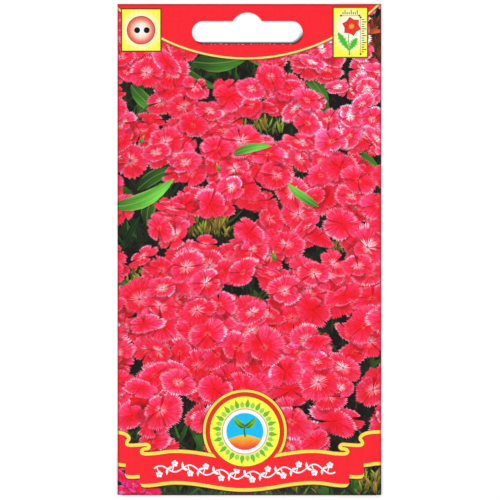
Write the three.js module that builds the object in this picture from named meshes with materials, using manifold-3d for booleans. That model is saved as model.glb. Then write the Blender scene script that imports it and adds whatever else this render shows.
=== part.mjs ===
// A flat paper seed packet, lying on its back: one printed sheet folded into a packet, three lines of
// glue that close it, and a small bed of loose seeds inside.
// Millimetres. +X is the packet's right, +Y runs up to the header, +Z comes out of the printed front.
// The origin is under the middle of the packet, on the surface that it lies on.

import * as THREE from 'three';
import { mergeVertices } from 'three/addons/utils/BufferGeometryUtils.js';
import Module from 'manifold-3d';

// The packet
const PACKET_WIDTH = 80;
const PACKET_HEIGHT = 149;
const PAPER = 0.12;          // thickness of the coated paper
const GLUE = 0.06;           // thickness of a glue film, and of the gap between two pressed layers
const BEND_RADIUS = 0.1;     // outer radius of a sharp fold
const BULGE = 1.7;           // how far the front stands clear of the back at its fullest
const BULGE_LOW = 0.75;      // below 1 puts the fullest place under the middle
const BULGE_FLATNESS = 0.7;  // below 1 keeps it full over a longer stretch

// The lap of the side seam and the flap of the bottom
const LAP_WIDTH = 12;
const BACK_EDGE_INSET = 1;   // the back panel stops this far short of the right fold
const FLAP_HEIGHT = 12;
const FLAP_INSET = 1.5;      // the flap starts this far inside the side folds
const FLAP_TAPER = 3;        // and is this much narrower at each end of its free edge
const PANEL_END_GAP = 0.3;   // inside the bottom fold
const RAMP = 1.5;            // length over which paper comes down from a layer under it

// The closing band of glue, under the hang slot
const BAND_TOP = 55;
const BAND_BOTTOM = 46;
const POUCH_TOP = 45;

// The hang slot, a long slot with a round bump in the middle of its upper side
const SLOT_WIDTH = 33.6;
const SLOT_HEIGHT = 6.8;
const SLOT_TOP_MARGIN = 5.2;
const SLOT_SHIFT = -0.6;     // from the packet's middle line
const BUMP_RADIUS = 5;
const BUMP_RISE = 2.6;
const BACK_SLOT_SHIFT = [-0.85, 0.55];   // the back layer sits a little out of line

// The seeds
const SEED_LENGTH = 2.7;
const SEED_WIDTH = 2.3;
const SEED_THICKNESS = 0.56;
const SEED_PITCH = 1.95;
const SEED_CLEARANCE = 0.03;
const BED_CENTRE = [-2, -36];
const BED_RADII = [15, 9];
const BED_JITTER = 0.14;
const BED_RAGGEDNESS = 0.12;   // how unevenly the bed's outline runs, as a share of its radii
const SEED_TILT = 0.07;

const HALF_WIDTH = PACKET_WIDTH / 2;
const HALF_HEIGHT = PACKET_HEIGHT / 2;
const LAYER = PAPER + GLUE;
const LAP_EDGE = HALF_WIDTH - LAP_WIDTH;
const FLAP_EDGE = -HALF_HEIGHT + FLAP_HEIGHT;
const PANEL_END = -HALF_HEIGHT + PANEL_END_GAP;
const WALL_OVERLAP = 0.02;   // how far a fold's wall runs into the panels that it joins
const COARSE_STEP = 7;

const wasm = await Module();
wasm.setup();

// ---------------------------------------------------------------- booleans

function toSolid(geometry) {
  const bare = geometry.clone();
  bare.deleteAttribute('normal');
  bare.deleteAttribute('uv');
  const merged = mergeVertices(bare);
  return new wasm.Manifold(new wasm.Mesh({
    numProp: 3,
    vertProperties: new Float32Array(merged.attributes.position.array),
    triVerts: new Uint32Array(merged.index.array),
  }));
}

function toGeometry(solid) {
  const mesh = solid.getMesh();
  const geometry = new THREE.BufferGeometry();
  geometry.setAttribute('position', new THREE.BufferAttribute(mesh.vertProperties, mesh.numProp));
  geometry.setIndex(new THREE.BufferAttribute(mesh.triVerts, 1));
  geometry.computeVertexNormals();
  return geometry;
}

function joined(solids) {
  return solids.reduce((whole, solid) => whole.add(solid));
}

function largestBody(solid) {
  const bodies = solid.decompose();
  return bodies.reduce((best, body) => (body.volume() > best.volume() ? body : best));
}

// ---------------------------------------------------------------- heights of the layers

function ramp(distance) {
  return Math.min(Math.max(1 - distance / RAMP, 0), 1);
}

// How far a face draws back at this distance from a fold, whose outer rim is round
function bendDrop(distance) {
  const inside = Math.max(BEND_RADIUS - distance, 0);
  return BEND_RADIUS - Math.sqrt(BEND_RADIUS ** 2 - inside ** 2);
}

// The back lies on the surface, and climbs onto the folded flap near the bottom
function backBottom(y) {
  return LAYER * ramp(y - FLAP_EDGE);
}

function backTop(y) {
  return backBottom(y) + PAPER;
}

function lapBottom(y) {
  return backTop(y) + GLUE;
}

function bulge(x, y) {
  const across = Math.min(Math.abs(x) / (HALF_WIDTH - PAPER), 1);
  const along = (y + HALF_HEIGHT - PAPER) / (POUCH_TOP + HALF_HEIGHT - PAPER);
  if (along <= 0 || along >= 1) {
    return 0;
  }
  const lengthways = Math.sin(Math.PI * along ** BULGE_LOW) ** BULGE_FLATNESS;
  return BULGE * (1 - across ** 2) * lengthways;
}

// The front lies on the back or on the lap, or stands clear of both over the seeds
function frontBottom(x, y) {
  const overLap = LAYER * ramp(LAP_EDGE - x);
  return lapBottom(y) + Math.max(overLap, bulge(x, y));
}

function frontTop(x, y) {
  const edge = Math.min(HALF_WIDTH - Math.abs(x), y + HALF_HEIGHT);
  return frontBottom(x, y) + PAPER - bendDrop(edge);
}

// ---------------------------------------------------------------- stations and slabs

// Distances from a fold at which its rounded rim is cut into facets
const BEND_STATIONS = [0, 30, 60, 90].map(
  (degrees) => BEND_RADIUS * (1 - Math.cos(THREE.MathUtils.degToRad(degrees))),
);

// A sorted run of places from first to last through the given breaks, none further apart than step
function stations(first, last, breaks, step) {
  const stops = [first, ...breaks.filter((stop) => stop > first && stop < last), last];
  stops.sort((a, b) => a - b);
  const places = [];
  for (let i = 0; i < stops.length - 1; i += 1) {
    const pieces = Math.ceil((stops[i + 1] - stops[i]) / step);
    for (let k = 0; k < pieces; k += 1) {
      places.push(THREE.MathUtils.lerp(stops[i], stops[i + 1], k / pieces));
    }
  }
  places.push(last);
  return places;
}

// A sheet over the grid xs by ys, between two heights that are functions of x and y
function slab(xs, ys, lower, upper) {
  const columns = xs.length - 1;
  const rows = ys.length - 1;
  const geometry = new THREE.BoxGeometry(1, 1, 1, columns, rows, 1);
  const position = geometry.attributes.position;
  for (let i = 0; i < position.count; i += 1) {
    const x = xs[Math.round((position.getX(i) + 0.5) * columns)];
    const y = ys[Math.round((position.getY(i) + 0.5) * rows)];
    const height = position.getZ(i) < 0 ? lower : upper;
    position.setXYZ(i, x, y, height(x, y));
  }
  return toSolid(geometry);
}

const LAP_BREAKS = [LAP_EDGE - RAMP, LAP_EDGE];
const FLAP_BREAKS = [FLAP_EDGE, FLAP_EDGE + RAMP];
const SIDE_BREAKS = BEND_STATIONS.flatMap((d) => [-HALF_WIDTH + d, HALF_WIDTH - d]);
const END_BREAKS = BEND_STATIONS.map((d) => -HALF_HEIGHT + d);

// ---------------------------------------------------------------- the folded sheet

function frontPanel() {
  const xs = stations(-HALF_WIDTH, HALF_WIDTH, [...SIDE_BREAKS, ...LAP_BREAKS], COARSE_STEP);
  const breaks = [...END_BREAKS, ...FLAP_BREAKS, POUCH_TOP, BAND_TOP];
  const ys = stations(-HALF_HEIGHT, HALF_HEIGHT, breaks, COARSE_STEP);
  return slab(xs, ys, frontBottom, frontTop);
}

function backPanel() {
  const rim = BEND_STATIONS.map((d) => -HALF_WIDTH + d);
  const xs = stations(-HALF_WIDTH, HALF_WIDTH - BACK_EDGE_INSET, rim, PACKET_WIDTH);
  const ys = stations(PANEL_END, HALF_HEIGHT, FLAP_BREAKS, PACKET_HEIGHT);
  const lower = (x, y) => backBottom(y) + bendDrop(x + HALF_WIDTH);
  return slab(xs, ys, lower, (x, y) => backTop(y));
}

function lap() {
  const rim = BEND_STATIONS.map((d) => HALF_WIDTH - d);
  const xs = stations(LAP_EDGE, HALF_WIDTH, rim, PACKET_WIDTH);
  const ys = stations(PANEL_END, HALF_HEIGHT, FLAP_BREAKS, PACKET_HEIGHT);
  const lower = (x, y) => lapBottom(y) + bendDrop(HALF_WIDTH - x);
  return slab(xs, ys, lower, (x, y) => lapBottom(y) + PAPER);
}

// The paper that turns over at a side fold, between the front and the layer under it
function sideWall(side, lowest) {
  const rim = [...BEND_STATIONS, PAPER].map((d) => side * (HALF_WIDTH - d)).sort((a, b) => a - b);
  const ys = stations(PANEL_END, HALF_HEIGHT, [...FLAP_BREAKS, POUCH_TOP], COARSE_STEP);
  const lower = (x, y) => lowest(y) + bendDrop(HALF_WIDTH - Math.abs(x));
  return slab(rim, ys, lower, (x, y) => frontBottom(x, y) + WALL_OVERLAP);
}

function bottomWall() {
  const reach = HALF_WIDTH - FLAP_INSET;
  const xs = stations(-reach, reach, LAP_BREAKS, COARSE_STEP);
  const rim = [...BEND_STATIONS, PAPER].map((d) => -HALF_HEIGHT + d);
  const lower = (x, y) => bendDrop(y + HALF_HEIGHT);
  return slab(xs, rim, lower, (x, y) => frontBottom(x, y) + WALL_OVERLAP);
}

// The tapered flap that is folded up behind the back panel
function bottomFlap() {
  const reach = HALF_WIDTH - FLAP_INSET;
  const start = -HALF_HEIGHT + BEND_RADIUS;
  const outline = new THREE.Shape();
  outline.moveTo(-reach, start);
  outline.lineTo(reach, start);
  outline.lineTo(reach - FLAP_TAPER, FLAP_EDGE);
  outline.lineTo(-reach + FLAP_TAPER, FLAP_EDGE);
  outline.closePath();
  return toSolid(new THREE.ExtrudeGeometry(outline, { depth: PAPER, bevelEnabled: false }));
}

// Everything inside the slot's outline, between two heights
function slotPunch(shiftX, shiftY, low, high) {
  const radius = SLOT_HEIGHT / 2;
  const straight = SLOT_WIDTH / 2 - radius;
  const bumpY = radius + BUMP_RISE - BUMP_RADIUS;
  const bumpAngle = Math.asin((radius - bumpY) / BUMP_RADIUS);
  const outline = new THREE.Shape();
  outline.moveTo(-straight, -radius);
  outline.lineTo(straight, -radius);
  outline.absarc(straight, 0, radius, -Math.PI / 2, Math.PI / 2);
  outline.absarc(0, bumpY, BUMP_RADIUS, bumpAngle, Math.PI - bumpAngle);
  outline.absarc(-straight, 0, radius, Math.PI / 2, Math.PI * 1.5);
  const geometry = new THREE.ExtrudeGeometry(outline, {
    depth: high - low,
    bevelEnabled: false,
    curveSegments: 12,
  });
  const centreY = HALF_HEIGHT - SLOT_TOP_MARGIN - radius;
  geometry.translate(SLOT_SHIFT + shiftX, centreY + shiftY, low);
  return toSolid(geometry);
}

function paperBlank() {
  const betweenLayers = PAPER + GLUE / 2;
  const clear = 1;
  const front = frontPanel().subtract(slotPunch(0, 0, betweenLayers, betweenLayers + clear));
  const back = backPanel().subtract(slotPunch(...BACK_SLOT_SHIFT, -clear, betweenLayers));
  return joined([
    front,
    back,
    lap(),
    sideWall(-1, backBottom),
    sideWall(1, lapBottom),
    bottomWall(),
    bottomFlap(),
  ]);
}

// ---------------------------------------------------------------- the glue

function seamGlue() {
  const margin = 2;
  const xs = [LAP_EDGE + margin, HALF_WIDTH - BACK_EDGE_INSET - margin / 2];
  const ys = stations(PANEL_END + margin, HALF_HEIGHT - margin, FLAP_BREAKS, PACKET_HEIGHT);
  return slab(xs, ys, (x, y) => backTop(y), (x, y) => lapBottom(y));
}

function flapGlue() {
  const margin = 1.5;
  const reach = HALF_WIDTH - FLAP_INSET - FLAP_TAPER - margin;
  const ys = [PANEL_END + margin, FLAP_EDGE - margin];
  return slab([-reach, reach], ys, () => PAPER, () => LAYER);
}

// The band across the mouth steps up where it runs over the lap's cut edge
function closingGlue() {
  const margin = 2;
  const stepLength = 0.08;
  const stepEnd = LAP_EDGE - 0.02;
  const stepStart = stepEnd - stepLength;
  const xs = [-HALF_WIDTH + margin, LAP_EDGE - RAMP, stepStart, stepEnd, LAP_EDGE, HALF_WIDTH - margin];
  const lower = (x, y) => (x < stepEnd ? backTop(y) : lapBottom(y) + PAPER);
  return slab(xs, [BAND_BOTTOM, BAND_TOP], lower, frontBottom);
}

// ---------------------------------------------------------------- the seeds

// A repeatable draw from 0 to 1
let drawState = 41;
function draw() {
  drawState = (drawState * 16807) % 2147483647;
  return drawState / 2147483647;
}

function around(size) {
  return (draw() * 2 - 1) * size;
}

// A flat, slightly keeled seed
function seed(x, y) {
  const geometry = new THREE.SphereGeometry(0.5, 6, 2);
  geometry.rotateX(Math.PI / 2);
  geometry.scale(SEED_LENGTH, SEED_WIDTH, SEED_THICKNESS);
  geometry.rotateX(around(SEED_TILT));
  geometry.rotateY(around(SEED_TILT));
  geometry.rotateZ(draw() * Math.PI);
  geometry.computeBoundingBox();
  const rise = PAPER + SEED_CLEARANCE - geometry.boundingBox.min.z;
  geometry.translate(x, y, rise);
  return toSolid(geometry);
}

// One layer of seeds, each touching the next, that has slid to the lower half of the pouch
function seedBed() {
  const rowPitch = SEED_PITCH * Math.sqrt(3) / 2;
  const rows = Math.ceil(BED_RADII[1] / rowPitch);
  const columns = Math.ceil(BED_RADII[0] / SEED_PITCH);
  const seeds = [];
  for (let row = -rows; row <= rows; row += 1) {
    for (let column = -columns; column <= columns; column += 1) {
      const x = (column + (row % 2) / 2) * SEED_PITCH + around(BED_JITTER);
      const y = row * rowPitch + around(BED_JITTER);
      const edge = 1 + around(BED_RAGGEDNESS);
      if (Math.hypot(x / BED_RADII[0], y / BED_RADII[1]) < edge) {
        seeds.push(seed(BED_CENTRE[0] + x, BED_CENTRE[1] + y));
      }
    }
  }
  return largestBody(joined(seeds));
}

// ---------------------------------------------------------------- the packet

const coatedPaper = new THREE.MeshStandardMaterial({ color: 0xd92f42, roughness: 0.32, metalness: 0 });
const driedGlue = new THREE.MeshStandardMaterial({ color: 0xd8cfb4, roughness: 0.4, metalness: 0 });
const seedCoat = new THREE.MeshStandardMaterial({ color: 0x1d1916, roughness: 0.7, metalness: 0 });

const packet = new THREE.Group();

function addPiece(name, solid, material) {
  const mesh = new THREE.Mesh(toGeometry(solid), material);
  mesh.name = name;
  packet.add(mesh);
}

addPiece('paper_blank', paperBlank(), coatedPaper);
addPiece('seam_glue', seamGlue(), driedGlue);
addPiece('flap_glue', flapGlue(), driedGlue);
addPiece('closing_glue', closingGlue(), driedGlue);
addPiece('seed_bed', seedBed(), seedCoat);

export default packet;
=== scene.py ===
"""A sealed paper packet of flower seeds with a printed front and back, lying on a studio floor.

One flat blank is drawn with its whole print, cut, and folded into the packet by a formula. Lengths are in
millimetres until a mesh is made, and +X is the packet's right, +Y runs up to its header and +Z comes out of
its front.
"""

import math
import random
from dataclasses import dataclass, field
import bpy
from bpy.props import FloatProperty, FloatVectorProperty, IntProperty, PointerProperty
from bpy.types import Operator, Panel, PropertyGroup
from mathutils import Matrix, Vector
from mathutils.geometry import delaunay_2d_cdt


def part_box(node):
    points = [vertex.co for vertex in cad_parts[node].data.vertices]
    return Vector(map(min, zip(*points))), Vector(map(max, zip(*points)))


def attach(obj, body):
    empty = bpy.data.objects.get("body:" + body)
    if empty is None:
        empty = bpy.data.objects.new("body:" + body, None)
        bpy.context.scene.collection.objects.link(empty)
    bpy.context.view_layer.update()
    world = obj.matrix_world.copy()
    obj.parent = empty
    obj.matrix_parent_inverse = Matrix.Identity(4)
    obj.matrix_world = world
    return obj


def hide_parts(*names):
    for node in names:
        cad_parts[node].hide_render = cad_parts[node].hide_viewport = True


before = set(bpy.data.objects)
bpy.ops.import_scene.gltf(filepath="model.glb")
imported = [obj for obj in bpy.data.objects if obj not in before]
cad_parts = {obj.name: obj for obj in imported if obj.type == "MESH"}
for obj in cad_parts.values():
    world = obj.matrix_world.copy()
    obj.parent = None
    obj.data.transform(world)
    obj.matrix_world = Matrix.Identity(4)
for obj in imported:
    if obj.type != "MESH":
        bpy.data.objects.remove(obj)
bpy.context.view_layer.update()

bl_info = {
    "name": "Flower Seed Packet",
    "version": (1, 0, 0),
    "blender": (4, 5, 0),
    "location": "3D View > Sidebar > Seed Packet",
    "description": "Prints and folds a sealed paper seed packet with a hang slot, and sets it in a studio",
    "category": "Add Mesh",
}

MM = 0.001
BODY = "root"
BLANK_LOW, BLANK_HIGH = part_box("paper_blank")
HALF_WIDTH = (BLANK_HIGH.x - BLANK_LOW.x) / 2 / MM
HALF_HEIGHT = (BLANK_HIGH.y - BLANK_LOW.y) / 2 / MM

# The share of the light that white paper sends back, and what its gloss adds to every ink
PAPER_WHITE = 0.87
GLOSS = 0.012


# ---------------------------------------------------------------- sizes and colours


def printed(red, green, blue):
    """A print colour in 0-255 values, as the linear colour of ink on this paper."""

    def linear(value):
        part = value / 255
        return part / 12.92 if part <= 0.04045 else ((part + 0.055) / 1.055) ** 2.4

    return tuple(PAPER_WHITE * max(linear(value) - GLOSS, 0.0) for value in (red, green, blue))


def length(name, description, millimetres):
    """A setting that holds a length."""
    return FloatProperty(
        name=name,
        description=description,
        default=millimetres * MM,
        unit="LENGTH",
        subtype="DISTANCE",
        precision=5,
    )


def share(name, description, default):
    """A setting that holds a share or a power."""
    return FloatProperty(
        name=name, description=description, default=default, min=0, soft_max=2, subtype="FACTOR"
    )


def ink(name, description, red, green, blue):
    """A setting that holds the colour of an ink."""
    tint = printed(red, green, blue)
    return FloatVectorProperty(
        name=name, description=description, default=tint, size=3, min=0, max=1, subtype="COLOR"
    )


class SheetSizes(PropertyGroup):
    """What the blank is cut and folded to."""

    paper: length("Paper", "Thickness of the coated paper", 0.12)
    glue: length("Glue", "Thickness of a glue film, and of the gap between two pressed layers", 0.06)
    bend: length("Bend", "Outer radius of a sharp fold", 0.1)
    bulge: length("Bulge", "How far the front stands clear of the back at its fullest", 1.7)
    bulge_low: share("Bulge lowness", "Below 1 puts the fullest place under the middle", 0.75)
    bulge_flatness: share("Bulge flatness", "Below 1 keeps the pouch full over a longer stretch", 0.7)
    ramp: length("Ramp", "Length over which paper comes down from a layer under it", 1.5)
    pouch_top: length("Pouch top", "Height of the pouch's upper end above the packet's middle", 45)
    lap_width: length("Lap width", "Width of the side seam's lap", 12)
    back_inset: length("Back inset", "How far short of the right fold the back panel stops", 1)
    flap_height: length("Flap height", "Height of the bottom flap", 12)
    flap_inset: length("Flap inset", "How far inside the side folds the bottom flap starts", 1.5)
    flap_taper: length("Flap taper", "How much narrower the flap is at each end of its free edge", 3)
    panel_gap: length("Panel gap", "How far the back panel stops inside the bottom fold", 0.3)


class SlotSizes(PropertyGroup):
    """The hang slot, a long slot with a round bump in the middle of its upper side."""

    width: length("Width", "Width of the slot", 33.6)
    height: length("Height", "Height of the slot without its bump", 6.8)
    top_margin: length("Top margin", "From the packet's top edge to the slot", 5.2)
    shift: length("Shift", "From the packet's middle line to the slot's middle", -0.6)
    bump_radius: length("Bump radius", "Radius of the bump", 5)
    bump_rise: length("Bump rise", "How far the bump stands above the slot", 2.6)
    back_right: length("Back right", "How far right of the front's slot the back layer's slot is", -0.85)
    back_up: length("Back up", "How far above the front's slot the back layer's slot is", 0.55)


class PictureSettings(PropertyGroup):
    """The bed of pinks on the front."""

    seed: IntProperty(name="Seed", description="Changes the way the flowers lie", default=11)
    far_radius: length("Far radius", "Radius of the flowers under the header", 4.9)
    near_radius: length("Near radius", "Radius of the flowers at the bottom", 7.3)
    crowding: share("Crowding", "Least distance between two flowers, as a share of their radii", 0.56)
    teeth: IntProperty(name="Teeth", description="Teeth on the rim of each petal", default=12, min=2)


class InkColours(PropertyGroup):
    """The colours that the packet is printed with."""

    field: ink("Field", "Header and ribbon", 254, 45, 56)
    edging: ink("Edging", "Edges of the ribbon and rim of the badge", 255, 226, 92)
    header_line: ink("Header line", "Round line under the header", 255, 228, 126)
    lemon: ink("Lemon", "Grounds of the icons and the badge", 255, 252, 82)
    rust: ink("Rust", "Thin outlines of the yellow shapes", 150, 62, 16)
    rust_dark: ink("Dark rust", "Marks on the icons", 72, 62, 12)
    petal: ink("Petal", "Petals near the eye", 255, 34, 52)
    petal_rim: ink("Petal rim", "Petals towards the rim", 255, 58, 106)
    petal_fold: ink("Petal fold", "Folds of the petals", 244, 20, 44)
    petal_shine: ink("Petal shine", "Fine light lines on the petals", 255, 100, 138)
    fringe: ink("Fringe", "Pale teeth of the petals", 255, 188, 206)
    eye: ink("Eye", "Star of streaks in the middle of a flower", 255, 222, 238)
    throat: ink("Throat", "Very middle of a flower", 120, 60, 40)
    leaf: ink("Leaf", "Leaves in the light", 116, 212, 76)
    leaf_edge: ink("Leaf edge", "Midribs and edges of leaves", 214, 236, 130)
    sepal: ink("Sepal", "Buds and bracts", 188, 168, 66)
    thicket: ink("Thicket", "Dark ground between the flowers", 24, 18, 24)
    moss: ink("Moss", "Green patches of the dark ground", 30, 44, 32)
    cream: ink("Cream", "Ground of the back", 255, 250, 226)
    line: ink("Line", "Thin dark lines", 60, 24, 28)
    sky: ink("Sky", "Middle of the badge", 36, 194, 250)


class StudioSettings(PropertyGroup):
    """The floor, the lights and the camera."""

    floor_size: length("Floor size", "Side of the square floor", 6000)
    frame_width: length("Frame width", "Width of what the camera takes in", 151.7)
    lens: FloatProperty(
        name="Lens", description="Focal length in millimetres", default=280, subtype="DISTANCE_CAMERA"
    )
    lamp_size: length("Lamp size", "Side of each soft lamp", 900)
    lamp_distance: length("Lamp distance", "From the packet to each soft lamp", 1300)
    lamp_height: FloatProperty(
        name="Lamp height",
        description="Angle of the lamps above the floor",
        default=math.radians(42),
        subtype="ANGLE",
    )
    lamp_power: FloatProperty(
        name="Lamp power", description="Power of each lamp", default=5.95, unit="POWER"
    )
    room_light: FloatProperty(name="Room light", description="Strength of the even light", default=0.33)


# ---------------------------------------------------------------- numbers and flat shapes


def clamp(value, low=0.0, high=1.0):
    return min(max(value, low), high)


def lerp(start, end, way):
    return start + (end - start) * way


def lerp_each(start, end, way):
    """The point or the tint that lies that share of the way from one to the other."""
    return tuple(lerp(a, b, way) for a, b in zip(start, end))


def smooth_step(low, high, value):
    way = clamp((value - low) / (high - low))
    return way * way * (3 - 2 * way)


def spread(reach, steps):
    """Numbers evenly spread from -reach to reach."""
    return [lerp(-reach, reach, step / steps) for step in range(steps + 1)]


def directions(angle):
    """The directions along and across something that points that way."""
    along = (math.cos(angle), math.sin(angle))
    return along, (-along[1], along[0])


def around(centre, reach, angle):
    """The place at that reach and angle round the centre."""
    return centre[0] + reach * math.cos(angle), centre[1] + reach * math.sin(angle)


def laid(points, foot, angle):
    """The points, given along and across from a foot, laid out in the direction of the angle."""
    along, across = directions(angle)
    return [tuple(f + u * a + v * b for f, u, v in zip(foot, along, across)) for a, b in points]


def moved(outline, right, up):
    return [(x + right, y + up) for x, y in outline]


def arc(centre, radius, start, end, steps):
    """Points along an arc, its angles in degrees."""
    angles = (math.radians(lerp(start, end, step / steps)) for step in range(steps + 1))
    return [around(centre, radius, angle) for angle in angles]


def disc(centre, radius, steps=48):
    return arc(centre, radius, 0, 360 * (steps - 1) / steps, steps - 1)


def rectangle(left, bottom, right, top):
    return [(left, bottom), (right, bottom), (right, top), (left, top)]


def curve_way(before, start, end, after, way):
    """A number that share of the way from start to end, on a smooth run through all four numbers."""
    square = 2 * before - 5 * start + 4 * end - after
    cube = 3 * start - before - 3 * end + after
    return 0.5 * (2 * start + (end - before) * way + square * way**2 + cube * way**3)


def curve_through(points, steps=6):
    """A smooth line through the points."""
    ends = [points[0], *points, points[-1]]
    line = []
    for four in zip(ends, ends[1:], ends[2:], ends[3:]):
        for step in range(steps):
            line.append(tuple(curve_way(*numbers, step / steps) for numbers in zip(*four)))
    return [*line, points[-1]]


def stroke(line, width, end_width=None):
    """The outline of a line drawn with that width, which may taper to another one."""
    end_width = width if end_width is None else end_width
    left, right = [], []
    last = len(line) - 1
    for place, (x, y) in enumerate(line):
        before = line[max(place - 1, 0)]
        after = line[min(place + 1, last)]
        run = math.dist(before, after)
        across = (-(after[1] - before[1]) / run, (after[0] - before[0]) / run)
        half = lerp(width, end_width, place / last) / 2
        left.append((x + across[0] * half, y + across[1] * half))
        right.append((x - across[0] * half, y - across[1] * half))
    return right + left[::-1]


def sides_of(loop):
    """Each corner of a closed loop with the one after it."""
    return zip(loop, [*loop[1:], loop[0]])


def without_repeats(outline):
    """The outline without a point that lies on the one before it."""
    return [here for before, here in zip(outline[-1:] + outline, outline) if math.dist(before, here) > 1e-6]


def loop_area(points):
    """The area inside a closed loop, below 0 where the loop runs clockwise."""
    return sum(a[0] * b[1] - b[0] * a[1] for a, b in sides_of(points)) / 2


# ---------------------------------------------------------------- the folded sheet

# Width of a fold on the flat blank, and the facets that it turns through
FOLD = 0.4
FOLD_STEPS = 8
# How far from its two ends the pouch's mesh follows a line across, where its swell starts
POUCH_RISES = (0.4, 1.2, 2.6, 4.6)
# How far from a place its neighbours are looked at to find which way the paper faces
FACING_REACH = 0.02


class Folding:
    """Where places on the flat blank come to lie once it is folded, in millimetres.

    On the blank, s runs across and t runs up from the middle of the front. Left of the front come the left
    fold and the back, right of it the right fold and the lap, and below it the bottom fold and the flap.
    """

    def __init__(self, sizes):
        self.paper = sizes.paper / MM
        self.layer = self.paper + sizes.glue / MM
        self.bend = sizes.bend / MM
        self.bulge_height = sizes.bulge / MM
        self.bulge_low = sizes.bulge_low
        self.bulge_flatness = sizes.bulge_flatness
        self.ramp_length = sizes.ramp / MM
        self.pouch_top = sizes.pouch_top / MM
        self.fold_x = HALF_WIDTH - self.bend
        self.fold_y = -HALF_HEIGHT + self.bend
        self.wall_x = HALF_WIDTH - self.paper
        self.wall_y = -HALF_HEIGHT + self.paper
        self.lap_edge = HALF_WIDTH - sizes.lap_width / MM
        self.flap_edge = -HALF_HEIGHT + sizes.flap_height / MM
        self.panel_end = -HALF_HEIGHT + sizes.panel_gap / MM
        self.flap_half = HALF_WIDTH - sizes.flap_inset / MM
        self.flap_tip = self.flap_half - sizes.flap_taper / MM
        self.blank_left = self.back_s(HALF_WIDTH - sizes.back_inset / MM)
        self.blank_right = 2 * self.fold_x + FOLD - self.lap_edge
        self.blank_low = 2 * self.fold_y - FOLD - self.flap_edge

    def ramp(self, distance):
        return clamp(1 - distance / self.ramp_length)

    def back_bottom(self, y):
        return self.layer * self.ramp(y - self.flap_edge)

    def lap_bottom(self, y):
        return self.back_bottom(y) + self.layer

    def bulge(self, x, y):
        across = min(abs(x) / self.wall_x, 1)
        along = (y - self.wall_y) / (self.pouch_top - self.wall_y)
        if along <= 0 or along >= 1:
            return 0.0
        lengthways = math.sin(math.pi * along**self.bulge_low) ** self.bulge_flatness
        return self.bulge_height * (1 - across**2) * lengthways

    def front_bottom(self, x, y):
        over_lap = self.layer * self.ramp(self.lap_edge - x)
        return self.lap_bottom(y) + max(over_lap, self.bulge(x, y))

    def round_fold(self, way, top, bottom):
        """How far out and how high the paper is, a share of the way round a fold from top to bottom."""
        radius = min(self.bend, (top - bottom) / 2)
        quarter = math.pi / 2 * radius
        straight = top - bottom - 2 * radius
        run = way * (2 * quarter + straight)
        if run < quarter:
            angle = run / radius
            return radius * math.sin(angle), top - radius * (1 - math.cos(angle))
        if run < quarter + straight:
            return radius, top - radius - (run - quarter)
        angle = (run - quarter - straight) / radius
        return radius * math.cos(angle), bottom + radius * (1 - math.sin(angle))

    def printed_side(self, s, t):
        """The point on the outside of the packet at a place on the blank."""
        if t < self.fold_y:
            beyond = self.fold_y - t
            if beyond >= FOLD:
                return Vector((s, self.fold_y + beyond - FOLD, 0))
            top = self.front_bottom(s, self.fold_y) + self.paper
            out, height = self.round_fold(beyond / FOLD, top, 0)
            return Vector((s, self.fold_y - out, height))
        beyond = abs(s) - self.fold_x
        if beyond <= 0:
            return Vector((s, t, self.front_bottom(s, t) + self.paper))
        side = math.copysign(1, s)
        under = self.back_bottom(t) if s < 0 else self.lap_bottom(t)
        if beyond >= FOLD:
            return Vector((side * (self.fold_x - beyond + FOLD), t, under))
        top = self.front_bottom(side * self.fold_x, t) + self.paper
        out, height = self.round_fold(beyond / FOLD, top, under)
        return Vector((side * (self.fold_x + out), t, height))

    def bare_side(self, s, t):
        """The point on the inside of the packet at a place on the blank."""
        if t < self.fold_y:
            beyond = self.fold_y - t
            if beyond >= FOLD:
                return Vector((s, max(self.fold_y + beyond - FOLD, self.wall_y), self.paper))
            height = lerp(self.front_bottom(s, self.wall_y), self.paper, beyond / FOLD)
            return Vector((s, self.wall_y, height))
        y = max(t, self.wall_y)
        beyond = abs(s) - self.fold_x
        if beyond <= 0:
            x = clamp(s, -self.wall_x, self.wall_x)
            return Vector((x, y, self.front_bottom(x, y)))
        side = math.copysign(1, s)
        under = (self.back_bottom(y) if s < 0 else self.lap_bottom(y)) + self.paper
        if beyond >= FOLD:
            return Vector((side * min(self.fold_x - beyond + FOLD, self.wall_x), y, under))
        height = lerp(self.front_bottom(side * self.wall_x, y), under, beyond / FOLD)
        return Vector((side * self.wall_x, y, height))

    def outward(self, s, t):
        """The direction straight out of the printed side."""
        across = self.printed_side(s + FACING_REACH, t) - self.printed_side(s - FACING_REACH, t)
        up = self.printed_side(s, t + FACING_REACH) - self.printed_side(s, t - FACING_REACH)
        return across.cross(up).normalized()

    def back_s(self, x):
        """The place across the blank that comes to lie at x on the back panel."""
        return -2 * self.fold_x - FOLD - x

    def outline(self):
        """The cut outline of the blank, its slots left out."""
        fold = self.fold_x + FOLD
        return [
            (self.blank_left, self.panel_end),
            (-fold, self.panel_end),
            (-fold, self.fold_y),
            (-self.flap_half, self.fold_y),
            (-self.flap_half, self.fold_y - FOLD),
            (-self.flap_tip, self.blank_low),
            (self.flap_tip, self.blank_low),
            (self.flap_half, self.fold_y - FOLD),
            (self.flap_half, self.fold_y),
            (fold, self.fold_y),
            (fold, self.panel_end),
            (self.blank_right, self.panel_end),
            (self.blank_right, HALF_HEIGHT),
            (self.blank_left, HALF_HEIGHT),
        ]

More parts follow.
